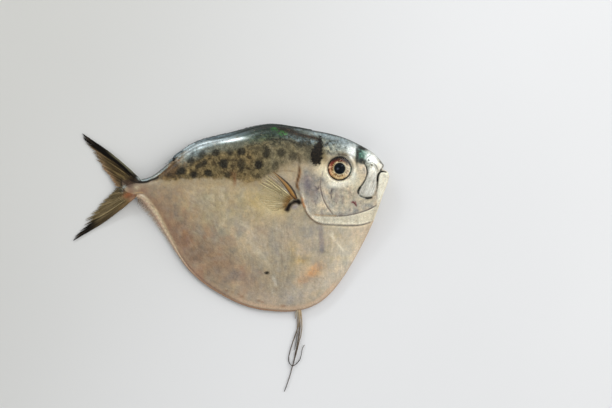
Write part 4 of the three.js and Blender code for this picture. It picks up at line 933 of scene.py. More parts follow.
rows, side_of, e_of = [], [], []
e_up, e_low = levels(N_UP), levels(N_LOW)
ring_e = np.concatenate([e_up, e_low[::-1][1:-1]])
ring_side = np.concatenate([np.ones(len(e_up)), -np.ones(len(e_low) - 2)])
RING = len(ring_e)
U, E = np.meshgrid(us, ring_e, indexing="ij")
SIDE = np.broadcast_to(ring_side, U.shape)
U, E, SIDE = U.ravel(), E.ravel(), SIDE.ravel().copy()
X, Y, Z = body_point(U, E, SIDE)
edge_rows = (E < 1e-9) | (E > 1 - 1e-9)
BASE_Z = Z.copy()

rise = np.zeros(len(X))
for sgn in (1, -1):
    on = SIDE == sgn
    rise[on] = relief(X[on], Y[on], U[on], sgn)
# Relief fades out at the very edge and at the two ends, where the flanks meet.
d_edge = np.minimum(np.abs(distance(X, Y, BACK_LINE)[0]), np.abs(distance(X, Y, BELLY_LINE)[0]))
rise *= smooth(-0.1, 0.7, d_edge)
Z = Z + SIDE * rise
# The soft flank lies flat where its weight presses it on the surface, with a rounded way into the flat.
low = SIDE < 0
Z[low] = np.where(Z[low] < 0.5, 0.5 * np.exp(np.clip((Z[low] - 0.5) / 0.5, -12, 0)), Z[low])
Z = np.maximum(Z, 0.0)

n_u = len(us)
i, k = np.meshgrid(np.arange(n_u - 1), np.arange(RING), indexing="ij")
l = (k + 1) % RING
quads = np.stack([i * RING + k, i * RING + l, (i + 1) * RING + l, (i + 1) * RING + k], -1).reshape(-1, 4)
caps = []
for i0, flip in ((0, False), (n_u - 1, True)):
    # A fan from a middle point closes each end.
    pts = np.arange(i0 * RING, (i0 + 1) * RING)
    caps.append((pts, flip))
NX, NY = notch(X, Y)
points = np.stack([NX, NY, Z], 1)
extra, tri = [], []
for pts, flip in caps:
    extra.append(points[pts].mean(0))
    c_index = len(points) + len(extra) - 1
    nxt = np.roll(pts, -1)
    f = np.stack([pts, nxt, np.full(len(pts), c_index)], 1)
    tri.append(f[:, ::-1] if not flip else f)
points = np.concatenate([points, np.array(extra)])
body = make_object("body", points, [quads[:, ::-1], np.concatenate(tri)])
bU, bE, bS = np.append(U, [0, U_END]), np.append(E, [0.5, 0.5]), np.append(SIDE, [1, 1])
bX, bY, bZ = np.append(X, points[-2:, 0]), np.append(Y, points[-2:, 1]), points[:, 2]
colour = np.zeros((len(bX), 3))
spot, depth, blotch, silver, wild, streaky = [np.zeros(len(bX)) for _ in range(6)]
for sgn in (1, -1):
    on = bS == sgn
    colour[on], spot[on], depth[on], blotch[on], silver[on], wild[on], streaky[on] = paint(bX[on], bY[on], sgn, bU[on])
put_colour(body, "paint", colour)
put(body, "spot", spot)
put(body, "depth", depth)
put(body, "blotch", blotch)
put(body, "silver", silver)
put(body, "wild", wild)
put(body, "streaky", streaky)
height = np.hypot(back_x(bU) - belly_x(bU), back_y(bU) - belly_y(bU))
put(body, "grain", np.stack([bU, bE * height, bS * 40.0], 1), "FLOAT_VECTOR")


def flank_grid(side):
    """Height of the finished skin over a fine grid in x, y, for laying fins and eyes on it."""
    step = 0.5
    gx, gy = np.arange(-80, 102, step), np.arange(-36, 88, step)
    total = np.zeros((len(gx), len(gy)))
    weight = np.zeros_like(total)
    on = bS == side
    x, y, z = bX[on], bY[on], bZ[on]
    fx, fy = (x - gx[0]) / step, (y - gy[0]) / step
    i0, j0 = np.floor(fx).astype(int), np.floor(fy).astype(int)
    for di in (0, 1):
        for dj in (0, 1):
            i, j = i0 + di, j0 + dj
            ok = (i >= 0) & (j >= 0) & (i < len(gx)) & (j < len(gy))
            w = (1 - np.abs(fx - i)) * (1 - np.abs(fy - j)) + 1e-6
            np.add.at(total, (i[ok], j[ok]), (w * z)[ok])
            np.add.at(weight, (i[ok], j[ok]), w[ok])
    full = weight > 0
    grid = np.where(full, total / np.maximum(weight, 1e-9), 0)
    for _ in range(8):
        # Fill the gaps from their neighbours.
        s, n = np.zeros_like(grid), np.zeros_like(grid)
        for dx, dy in ((1, 0), (-1, 0), (0, 1), (0, -1)):
            s += np.roll(grid * full, (dx, dy), (0, 1))
            n += np.roll(full.astype(float), (dx, dy), (0, 1))
        fill = (~full) & (n > 0)
        grid = np.where(fill, s / np.maximum(n, 1), grid)
        full = full | fill

    def at_place(x, y):
        fx, fy = (np.asarray(x, float) - gx[0]) / step, (np.asarray(y, float) - gy[0]) / step
        i = np.clip(np.floor(fx).astype(int), 0, len(gx) - 2)
        j = np.clip(np.floor(fy).astype(int), 0, len(gy) - 2)
        a, b = np.clip(fx - i, 0, 1), np.clip(fy - j, 0, 1)
        return lerp(lerp(grid[i, j], grid[i + 1, j], a), lerp(grid[i, j + 1], grid[i + 1, j + 1], a), b)

    return at_place


SKIN = {1: flank_grid(1), -1: flank_grid(-1)}

# ---------------------------------------------------------------- eyes
def bare_height(x, y, side):
    """Height of the bare body near the eye, from the rim of the socket inwards."""
    a = np.linspace(0, 2 * np.pi, 24, endpoint=False)
    return float(np.mean(SKIN[side](x + 9.2 * np.cos(a), y + 9.2 * np.sin(a))))


def eye_plane(side):
    a = np.linspace(0, 2 * np.pi, 48, endpoint=False)
    x, y = EYE[0] + 9.0 * np.cos(a), EYE[1] + 9.0 * np.sin(a)
    z = SKIN[side](x, y)
    sol, *_ = np.linalg.lstsq(np.stack([x - EYE[0], y - EYE[1], np.ones_like(x)], 1), z, rcond=None)
    return sol


def dome(name, radii, heights, turns, side, colour_of):
    """A round shell over the eye's plane, closed below by a flat underside."""
    sx, sy, s0 = eye_plane(side)
    m = Mesh()
    a = np.linspace(0, 2 * np.pi, turns, endpoint=False)
    pts, cols = [], []
    for r, h in zip(radii, heights):
        x, y = EYE[0] + r * np.cos(a), EYE[1] + r * np.sin(a)
        z = s0 + sx * (x - EYE[0]) + sy * (y - EYE[1]) + side * h
        pts.append(np.stack([x, y, np.maximum(z, 0.03) if side < 0 else z], 1))
        cols.append(colour_of(np.full(turns, r), a))
    pts, cols = np.concatenate(pts), np.concatenate(cols)
    n = len(radii)
    i, k = np.meshgrid(np.arange(n - 1), np.arange(turns), indexing="ij")
    l = (k + 1) % turns
    quads = np.stack([i * turns + k, i * turns + l, (i + 1) * turns + l, (i + 1) * turns + k], -1).reshape(-1, 4)
    centre = [EYE[0], EYE[1], max(s0 + side * heights[0], 0.03)]
    last = (n - 1) * turns
    base = [EYE[0], EYE[1], max(s0 + side * heights[-1], 0.03)]
    pts = np.concatenate([pts, [centre], [base]])
    cols = np.concatenate([cols, colour_of(np.zeros(1), np.zeros(1)), cols[-1:]])
    fan = np.stack([np.full(turns, n * turns), (np.arange(turns) + 1) % turns, np.arange(turns)], 1)
    under = np.stack([np.full(turns, n * turns + 1), last + np.arange(turns), last + (np.arange(turns) + 1) % turns], 1)
    if side > 0:
        quads, fan, under = quads[:, ::-1], fan[:, ::-1], under[:, ::-1]
    m.add(pts, [quads, np.concatenate([fan, under])], paint=cols)
    return m.done(name)


def iris_colour(side):
    def colour_of(r, a):
        c = np.tile(np.array([8.0, 13.0, 18.0]), (len(r), 1))
        streaks = fbm(a * 9 + 40, r * 0.7, 61, 3)
        fine = fbm(a * 22 + 10, r * 1.1, 62, 2)
        c = over(c, 0.5 * smooth(0.2, 0.7, streaks) * smooth(0.4, 1.4, r), (40, 62, 78))
        hx, hy = r * np.cos(a) / PX, -r * np.sin(a) / PX
        # Two pale glints on the pupil are painted reflections.
        c = over(c, 0.85 * np.exp(-((hx + 1.7) ** 2 + (hy - 0.3) ** 2) / 1.2), (128, 128, 144))
        c = over(c, 0.7 * np.exp(-((hx - 2.4) ** 2 + (hy + 2.8) ** 2) / 0.8), (120, 124, 146))
        def toward(angle, lo, hi):
            return smooth(lo, hi, np.cos(a - math.radians(angle)))

        broad = fbm(a * 3.4 + 7, r * 0.5, 63, 2)
        c = over(c, smooth(PUPIL_R - 0.1, PUPIL_R + 0.12, r), (238, 226, 190))
        c = over(c, 0.6 * bell(r - PUPIL_R - 0.1, 0.13), (104, 88, 60))
        # The iris: gold below and to the rear, red above it, almost black at the top, ivory in front.
        ring = smooth(4.05, 4.4, r + 0.3 * streaks + 0.25 * broad)
        c = over(c, ring, (208, 172, 118))
        c = over(c, 0.8 * ring * toward(185, 0.3, 0.95), (206, 164, 96))
        c = over(c, 0.85 * ring * toward(0, 0.3, 0.95), (236, 228, 208))
        c = over(c, 0.85 * ring * smooth(4.5, 4.9, r) * toward(118, 0.1, 0.85), (108, 62, 44))
        c = over(c, 0.9 * smooth(4.7, 5.4, r + 0.3 * broad) * toward(152, 0.52, 0.95), (130, 38, 40))
        c = over(c, 0.7 * smooth(5.3, 6.0, r) * toward(186, 0.6, 0.98), (188, 112, 84))
        c = over(c, 0.92 * smooth(5.0, 5.7, r + 0.4 * broad) * toward(80, 0.32, 0.9), (38, 26, 22))
        c = over(c, 0.7 * bell(r - 4.95 - 0.35 * broad, 0.32) * toward(-112, 0.55, 0.96), (122, 84, 48))
        c = over(c, 0.55 * bell(r - 5.85, 0.3) * toward(-125, 0.2, 0.8), (242, 218, 168))
        c = over(c, 0.7 * bell(r - 5.0, 0.2) * toward(88, 0.8, 0.98), (146, 52, 56))
        c = over(c, 0.75 * bell(r - 5.0 - 0.4 * broad, 0.3) * toward(38, 0.88, 0.99), (122, 86, 60))
        c = over(c, 0.6 * bell(r - 5.5, 0.25) * toward(-28, 0.86, 0.99), (158, 116, 80))
        c = over(c, 0.9 * ring * smooth(0.02, 0.26, streaks) * smooth(5.6, 4.7, r) * (1 - 0.6 * toward(0, 0.3, 0.95)), (100, 66, 40))
        c = over(c, 0.7 * ring * smooth(0.02, 0.35, -streaks) * (1 - 0.7 * toward(100, 0.2, 0.8)), (244, 220, 172))
        c = over(c, 0.5 * ring * smooth(0.05, 0.4, fine), (98, 62, 38))
        c = over(c, 0.5 * bell(r - 6.1, 0.22) * (1 - toward(100, 0.0, 0.7)), (242, 214, 164))
        # The dark rim reaches further in at the top, as painted shade from the lid over the eye.
        above = smooth(-0.2, 0.8, np.sin(a))
        left = toward(180, -0.2, 0.9)
        c = over(c, 0.97 * smooth(6.6, 7.05, r + 0.22 * streaks + 0.45 * above - 0.3 * left), (20, 15, 13))
        c = over(c, 0.55 * smooth(0.1, 0.6, fine) * smooth(6.5, 6.9, r) * (1 - 0.6 * above), (110, 82, 52))
        c = over(c, 0.7 * bell(r - 7.2, 0.3) * smooth(0.93, 1.0, np.cos(a - math.radians(-8))), (60, 130, 120))
        return c

    return colour_of


eyes, corneas = [], []
for side, word in ((1, "right"), (-1, "left")):
    sink = 0.0 if side > 0 else -0.25
    radii = np.array([0.6, 1.3, 2.0, 2.7, 3.2, 3.5, 3.62, 3.8, 4.2, 4.6, 5.0, 5.4, 5.8, 6.2, 6.6, 7.0, 7.4, 7.75, 7.85])
    heights = np.array([0.62, 0.60, 0.56, 0.48, 0.40, 0.32, 0.24, 0.20, 0.24, 0.25, 0.24, 0.20, 0.14, 0.06, -0.04, -0.18, -0.34, -0.6, -1.5]) + sink
    eye = dome("eye_" + word, radii, heights, 120, side, iris_colour(side))
    eyes.append(eye)
    radii = np.array([0.7, 1.5, 2.3, 3.1, 3.9, 4.7, 5.4, 6.0, 6.5, 6.9, 7.3, 7.62, 7.75])
    heights = np.sqrt(np.maximum(0, 1 - (radii / 7.87) ** 2)) * 1.55 - 0.15 + sink
    heights[-1] = -0.55 + sink
    cornea = dome("cornea_" + word, radii, heights, 96, side, lambda r, a: np.tile(np.array([255.0, 255.0, 255.0]), (len(r), 1)))
    corneas.append(cornea)

# ---------------------------------------------------------------- tail fin
def tail_middle(x):
    away = clamp01((-66 - x) / 26)
    return lerp(3.0, 0.42, np.sin(np.pi / 2 * away))


TAIL_STRETCH = 1.009  # the tail lies lower than the flank, so from above it looks a little smaller than it is
LOOK_AT = at(306, 204)


def tail_place(px, py):
    x, y = at(px, py)
    return (LOOK_AT[0] + (x - LOOK_AT[0]) * TAIL_STRETCH, LOOK_AT[1] + (y - LOOK_AT[1]) * TAIL_STRETCH)


LOBES = [
    # root, from the leading ray to the innermost; tips, the same way; bow; seed
    dict(root=[(143.4, 181.4), (137, 183.2), (131.0, 184.8), (126.6, 186.8), (124.8, 189.2)],
         tips=[(84.9, 134.9), (86.2, 141.0), (90.0, 150.4), (95.6, 159.6), (102.0, 168.2), (108.6, 175.6), (115.2, 185.4)], bow=-1.1, seed=3),
    dict(root=[(138.6, 194.8), (133.4, 194.2), (128.8, 192.6), (125.8, 190.8), (124.6, 189.0)],
         tips=[(75.8, 239.4), (80.4, 230.4), (90.0, 214.6), (98.8, 205.0), (107.0, 197.0), (112.6, 192.0), (115.6, 187.4)], bow=1.3, seed=9),
]


def lobe_sheet(spec):
    root, tips = along([tail_place(*p) for p in spec["root"]]), along([tail_place(*p) for p in spec["tips"]])

    def point(a, b):
        p, q = root(b), tips(b)
        n = np.stack([-(q[..., 1] - p[..., 1]), q[..., 0] - p[..., 0]], -1)
        n /= np.linalg.norm(n, axis=-1)[..., None] + 1e-9
        xy = p + (q - p) * np.asarray(a)[..., None] + n * (spec["bow"] * np.sin(np.pi * np.clip(a, 0, 1)) * (1 - b))[..., None]
        return xy[..., 0], xy[..., 1]

    return point


def tail_colour(a, b, seed, upper, x=None, y=None):
    n = fbm(b * 46 + seed, a * 3.2, 71 + seed, 3)
    m = 0.6 * fbm(b * 11 + seed, a * 6.0, 72 + seed, 3) + 0.6 * fbm(b * 30 + seed, a * 26.0, 73 + seed, 2)
    if upper:
        c = np.tile(np.array([86.0, 72.0, 47.0]), (len(a), 1))
        c = over(c, 0.7 * smooth(-0.1, 0.4, n), (46, 36, 23))
        c = over(c, 0.55 * smooth(0.05, 0.5, -n), (122, 106, 74))
        c = over(c, 0.5 * bell(b - 0.55, 0.2) * smooth(0.55, 0.2, a), (116, 100, 62))
        c = over(c, 0.7 * smooth(0.45, 0.8, b) * smooth(0.3, 0.8, a), (132, 102, 76))
        c = over(c, 0.7 * smooth(0.55, 0.9, a + 0.06 * n) * smooth(0.10, 0.2, b), (150, 126, 98))
        wide = 0.05 - 0.05 * smooth(0.7, 1.0, a)
        c = over(c, 0.97 * smooth(0.15 + wide, 0.09 + wide, b + 0.04 * m + 0.03 * n), (13, 10, 7))
        c = over(c, 0.8 * smooth(0.06, 0.03, b) * smooth(0.72, 0.5, a) * smooth(0.08, 0.2, a), (112, 110, 88))
        c = over(c, 0.7 * smooth(0.24, 0.05, a), (40, 33, 24))
        c = over(c, 0.4 * bell(b - 0.66, 0.06) * smooth(0.75, 0.3, a), (38, 30, 19))
        c = over(c, 0.6 * smooth(0.80, 0.98, b) * smooth(0.15, 0.4, a), (146, 122, 90))
        c = over(c, 0.6 * smooth(0.72, 1.0, a) * smooth(0.36, 0.5, b), (176, 146, 118))
    else:
        c = np.tile(np.array([114.0, 100.0, 73.0]), (len(a), 1))
        c = over(c, 0.6 * smooth(0.0, 0.4, n), (78, 66, 40))
        c = over(c, 0.5 * smooth(0.05, 0.5, -n), (146, 132, 96))
        c = over(c, 0.6 * smooth(0.25, 0.06, b) * smooth(0.15, 0.5, a), (46, 36, 22))
        c = over(c, 0.97 * smooth(0.29, 0.14, b + 0.05 * m + 0.04 * n) * smooth(0.62, 0.84, a + 0.04 * n), (16, 12, 8))
        c = over(c, 0.5 * smooth(0.3, 0.1, b) * smooth(0.5, 0.1, a), (138, 108, 70))
        c = over(c, 0.6 * smooth(0.75, 1.0, a) * smooth(0.25, 0.5, b), (156, 146, 118))
        c = over(c, 0.55 * smooth(0.2, 0.0, a), (120, 88, 58))
        c = over(c, 0.45 * smooth(0.72, 1.0, b) * smooth(0.95, 0.2, a), (80, 70, 50))
    if x is not None:
        px = x / PX + PX_X0
        c = tail_root(c, x, y, smooth(115.5, 118.5, px))
    return c * (1 + 0.16 * m)[:, None]


def slab_faces(ni, nj):
    """Faces of a closed slab whose top grid is followed by its bottom grid."""
    n = ni * nj
    idx = np.arange(n).reshape(ni, nj)
    rim = np.concatenate([idx[0, :-1], idx[:-1, -1], idx[-1, :0:-1], idx[:0:-1, 0]])
    nxt = np.roll(rim, -1)
    return [grid_faces(ni, nj), grid_faces(ni, nj, n, True), np.stack([rim, nxt, nxt + n, rim + n], 1)]


def clasp(x, y, z, side, gap):
    """Near the root the fin lies on the stalk: the half rays clasp it from both sides."""
    on = SKIN[side](x, y)
    near = smooth(-56.0, -57.5, x) * smooth(-74.5, -72.5, x)
    if side > 0:
        return lerp(z + gap, np.maximum(z + gap, on + gap), near)
    return np.maximum(lerp(z - gap, np.minimum(z - gap, on - gap), near), 0.12)


tail = Mesh()
web = Mesh()
for spec, upper in zip(LOBES, (True, False)):
    point = lobe_sheet(spec)
    RAYS, SPLIT = 12, 7
    for ray in range(RAYS):
        for twig in range(SPLIT):
            b_end = (ray + (twig + 0.5) / SPLIT) / RAYS
            b_root = (ray + 0.5) / RAYS
            key = ray * SPLIT + twig
            tuft = int(b_end * 24)
            jitter = 0.65 * rand(tuft, 13, spec["seed"]) + 0.35 * rand(key, 3, spec["seed"])
            frayed = smooth(0.06, 0.22, b_end)
            reach = 1.04 - 0.20 * jitter * frayed - 0.05 * rand(key, 4, spec["seed"]) * (twig % 2) * frayed
            a = np.linspace(0, 1, 26) ** 0.9 * reach
            part = smooth(0.06 + 0.10 * (twig % 2), 0.66, a)
            b = lerp(b_root, b_end, part) + 0.006 * np.sin(a * 9 + key) * a + ((tuft + 0.3 + 0.4 * rand(tuft, 14, spec["seed"])) / 24 - b_end) * 0.8 * smooth(0.72, 1.02, a) * frayed
            x, y = point(a, np.clip(b, 0, 1))
            lead = math.exp(-b_end * 14)
            r = lerp(0.36 + 0.32 * lead, 0.15 + 0.10 * lead, smooth(0.0, 1.0, a / reach) ** 1.1) * smooth(1.03, 0.88, a / reach) ** 0.5 * (0.75 + 0.5 * rand(key, 6, spec["seed"]))
            r = r * lerp(0.45, 1.0, smooth(0.0, 0.08, a))
            z = tail_middle(x) + 0.22 * math.sin(key * 2.4) * (1 - a) + 0.12 * np.sin(a * 7 + key * 1.7) * (1 - a)
            tone = lerp(0.7 + 0.6 * rand(key, 9, spec["seed"]), 1.0, 0.8 if b_end < 0.16 else 0.0)
            colour = tail_colour(a, np.full(len(a), b_end), spec["seed"], upper, x, y) * lerp(tone, 1.0, smooth(-72, -67, x))[:, None]
            for side in (1, -1):
                zz = clasp(x, y, z, side, 0.16 * (1 - smooth(0.5, 0.9, a)) + 0.02)
                tube(tail, np.stack([x, y, np.maximum(zz, 0.14)], 1), r, 6, 0.8, paint=colour)
    # Membrane between the rays, torn along its free edge.
    ni, nj = 44, 150
    A, B = np.meshgrid(np.linspace(0, 1, ni), np.linspace(0, 1, nj), indexing="ij")
    gap = 1 - np.abs(2 * (B * 24 - np.floor(B * 24)) - 1)
    tear = 0.17 + 0.13 * vnoise(np.floor(B * 24) * 1.7, B * 0, spec["seed"]) + 0.13 * (1 - gap) ** 2 + 0.08 * vnoise(B * 84, B * 0, spec["seed"] + 1)
    reach = 1 - tear * smooth(0.03, 0.2, B)
    a, b = (A * reach).ravel(), B.ravel()
    x, y = point(a, b)
    z = tail_middle(x)
    ridge = 0.05 * np.cos(b * RAYS * 2 * np.pi + np.pi) * (1 - 0.6 * a)
    half_t = lerp(0.26, 0.04, smooth(0, 0.6, a))
    c = over(tail_colour(a, b, spec["seed"], upper, x, y), 0.3 * smooth(0.3, 1.0, a), (150, 128, 104))
    cover = lerp(1.0, 0.34, smooth(0.3, 0.98, a)) * lerp(1.0, 0.7, vnoise(b * 60, a * 3, 5)) * smooth(-0.02, 0.06, a)
    cover = np.maximum(cover, smooth(0.2, 0.1, b) * smooth(-0.02, 0.06, a))
    top, low = clasp(x, y, z, 1, 0.1) + half_t * 0.6 + ridge, clasp(x, y, z, -1, 0.1) - half_t * 0.6
    pts = np.concatenate([np.stack([x, y, top], 1), np.stack([x, y, np.maximum(np.minimum(low, top - 0.08), 0.02)], 1)])
    web.add(pts, slab_faces(ni, nj), paint=np.concatenate([c, c]), cover=np.concatenate([cover, cover]))
tail_rays = tail.done("tail_rays")
tail_web = web.done("tail_web")

# ---------------------------------------------------------------- dorsal and anal fins, folded along the edges
def fold_fin(name, line_u, which, height_of, lean, colour_of, cover_of, spacing, thick, seed):
    """Short rays that lie back along an edge, with a low web of skin between them."""
    rays, skin = Mesh(), Mesh()
    ex, ey = (back_x, back_y) if which == "back" else (belly_x, belly_y)
    e0 = 1.0 if which == "back" else 0.0

    def frame_at(u):
        d = 0.4
        t = np.stack([ex(u + d) - ex(u - d), ey(u + d) - ey(u - d)], -1)
        t /= np.linalg.norm(t, axis=-1)[..., None]
        n = np.stack([-t[..., 1], t[..., 0]], -1) * (1 if which == "back" else -1)
        _, _, z = body_point(u, np.full(np.shape(u), e0), 1)
        return np.stack([ex(u), ey(u)], -1), t, n, z

    def fall(z, out):
        """Where the fold is wide it hangs down towards the surface."""
        return z - np.maximum(0, z - 0.7) * clamp01((out - 0.5) / 3.0)

    def seat(u, share):
        """The fold behind springs from the ridge, so its root sits higher than the very edge."""
        return 0 if which == "back" else 1.1 * smooth(U_AT[9], U_AT[6], u) * smooth(0.5, -0.1, share)

    u0, u1 = line_u
    steps = int((u1 - u0) / 0.35)
    uu = np.linspace(u0, u1, steps)
    p, t, n, z = frame_at(uu)
    h = height_of(uu) * (0.78 + 0.2 * vnoise(uu * 0.9, uu * 0, seed) + 0.14 * vnoise(uu * 2.9, uu * 0, seed + 1))
    profile = [(-1.4, 0.5), (-0.5, 0.5), (0.12, 0.42), (0.3, 0.33), (0.5, 0.26), (0.7, 0.2), (0.86, 0.14), (1.0, 0.06)]
    top, low_ = [], []
    for share, half_t in profile:
        out = share * (h if share > 0 else np.ones_like(h))
        xy = p + n * out[:, None]
        zz = fall(z, out) + 0.12 * np.sin(uu * 2.1 + seed) * max(share, 0) + seat(uu, share)
        top.append(np.concatenate([xy, (zz + half_t * thick)[:, None]], 1))
        low_.append(np.concatenate([xy, (zz - half_t * thick)[:, None]], 1))
    top, low_ = np.stack(top, 1), np.stack(low_, 1)
    ni, nj = top.shape[:2]
    pts = np.concatenate([top.reshape(-1, 3), low_.reshape(-1, 3)])
    pts[:, 2] = np.maximum(pts[:, 2], 0.05)
    share = np.tile(np.array([v for v, _ in profile]), ni)
    u_all = np.repeat(uu, nj)
    c, cover = colour_of(u_all, share), cover_of(u_all, share)
    faces = slab_faces(ni, nj)
    if which == "belly":
        faces = [f[:, ::-1] for f in faces]
    skin.add(pts, faces, paint=np.concatenate([c, c]), cover=np.concatenate([cover, cover]))
    for k, u in enumerate(np.arange(u0 + (3.0 if which == "belly" else 0.8), u1 - 0.4, spacing)):
        u = u + 0.35 * (rand(k, 1, seed) - 0.5)
        hh = float(height_of(np.array(u))) * (0.86 + 0.24 * rand(k, 2, seed))
        ts = np.linspace(0, 1, 8)
        uk = u - lean * ts**0.8 * (0.8 + 0.4 * rand(k, 3, seed))
        p, t, n, z = frame_at(np.maximum(uk, 0.5))
        off = -0.45 + (hh + 0.45) * np.sin(ts * np.pi / 2) ** 0.9
        path = np.concatenate([p + n * off[:, None], (fall(z, off) + 0.10 * np.sin(k * 1.9) + seat(u, ts))[:, None]], 1)
        tone = 0.75 + 0.4 * rand(k, 5, seed)
        tube(rays, path, lerp(0.24, 0.06, ts) * thick, 5, 0.8, paint=colour_of(np.full(8, u), ts * 0.9) * tone, cover=cover_of(np.full(8, u), ts * 0.92) * 0.9)
    return rays.done(name + "_rays"), skin.done(name + "_web")


def table(us_, vs_):
    return lambda u: np.interp(u, us_, vs_)


dorsal_height = table([U_AT[5] + 2.2, U_AT[5] + 3.2, U_AT[6], U_AT[7], U_AT[8], U_AT[9], U_AT[10], U_AT[11], U_AT[12], U_AT[13]], [0.9, 1.35, 1.35, 1.5, 1.8, 2.1, 2.0, 1.35, 0.7, 0.3])
ANAL_FROM, ANAL_TO = U_AT[2] - 1.6, U_AT[12] - 3.0


def anal_height(u):
    run = np.clip(u - ANAL_FROM, 0, None)
    f = clamp01(run / (ANAL_TO - ANAL_FROM))
    return 0.25 + 0.6 * np.sin(np.pi * f) ** 0.5 + 5.7 * clamp01(run / 2.6) ** 0.8 * np.exp(-((np.maximum(run - 9, 0) / 15.0) ** 2))


def dorsal_colour(u, share):
    n = vnoise(u * 1.4, share * 2, 81)
    m = vnoise(u * 0.5, share, 83)
    c = np.tile(np.array([182.0, 196.0, 200.0]), (len(u), 1))
    c = over(c, smooth(0.35, 0.7, m) * 0.6, (96, 108, 112))
    c = over(c, smooth(U_AT[7], U_AT[8] + 1.0, u), (80, 94, 100))
    front = smooth(U_AT[9], U_AT[10], u)
    c = over(c, front, (34, 42, 38))
    c = over(c, smooth(0.5, 0.9, n) * 0.5 * (1 - 0.75 * front), (128, 144, 148))
    c = over(c, smooth(0.6, 0.95, m) * 0.5, (40, 48, 46))
    c = over(c, 0.92 * smooth(0.62, 0.88, share), (22, 26, 26))
    return c


def anal_colour(u, share):
    n = vnoise(u * 0.8, share * 2, 82)
    behind = smooth(U_AT[8], U_AT[6], u)
    c = np.tile(np.array([172.0, 138.0, 110.0]), (len(u), 1))
    c = over(c, smooth(0.4, 0.9, n) * 0.5, (148, 112, 88))
    c = over(c, 0.95 * behind, (207, 184, 158))
    bead = smooth(-0.5, 0.5, np.cos(u * 2 * np.pi / 1.7 + 4 * n) + 0.8 * (vnoise(u * 1.1, u * 0, 84) - 0.3))
    c = over(c, 0.6 * behind * smooth(0.45, 0.2, share), (172, 142, 122))
    c = over(c, 0.95 * behind * smooth(0.18, 0.08, share) * (0.3 + 0.7 * bead), (228, 212, 176))
    c = over(c, 0.4 * behind * smooth(0.4, 0.9, n), (200, 150, 126))
    return c


def anal_cover(u, share):
    behind = smooth(U_AT[8], U_AT[6], u)
    return lerp(lerp(1.0, 0.35, smooth(0.5, 1.0, share)), smooth(0.2, 0.1, share) + 0.84 * (1 - clamp01(share)) ** 1.15, behind)


dorsal = fold_fin("dorsal_fin", (U_AT[5] + 2.6, U_AT[13]), "back", dorsal_height, 3.2, dorsal_colour, lambda u, share: np.ones_like(share), 1.35, 0.9, 21)
anal = fold_fin("anal_fin", (ANAL_FROM, ANAL_TO), "belly", anal_height, 1.8, anal_colour, anal_cover, 1.25, 0.75, 22)

# The last ray of the dorsal fin curls back like a hook.
hook = Mesh()
path = np.column_stack([np.array(places([(183.0, 150.6), (179.0, 152.4), (175.8, 154.8), (174.0, 157.0), (173.4, 159.0), (174.4, 160.6)])), np.array([6.4, 6.6, 6.8, 6.9, 6.9, 6.8])])
path = through(path, 5)
path[:, 2] = SKIN[1](path[:, 0], path[:, 1]) + 0.3
f = np.linspace(0, 1, len(path))
tube(hook, path, lerp(0.4, 0.85, smooth(0.3, 0.85, f)) * smooth(1.06, 0.9, f), 8, 0.8,
     paint=over(over(np.tile(np.array([150.0, 166.0, 172.0]), (len(f), 1)), 0.7 * smooth(0.1, 0.4, vnoise(f * 9, f * 0, 3)), (70, 78, 80)), smooth(0.6, 0.8, f), (9, 9, 9)), cover=1.0)
dorsal_hook = hook.done("dorsal_hook")

# ---------------------------------------------------------------- pectoral fins
PECTORAL_ROOT = along(places([(295.4, 197.4), (292.2, 199.2), (289.0, 202.2), (286.0, 206.8)]))
PECTORAL_TIPS = along(places([(271.6, 171.4), (264.0, 173.6), (257.6, 179.6), (254.0, 187.0), (253.8, 195.6), (258.6, 204.0), (268.0, 210.6)]))
BLADE_TOP = along(places([(297.6, 197.8), (294.4, 190.6), (288.6, 183.2), (281.4, 177.2), (273.2, 171.6)]))
BLADE_LOW = along(places([(295.6, 200.0), (290.8, 195.8), (286.0, 188.6), (280.8, 181.6), (273.2, 172.0)]))


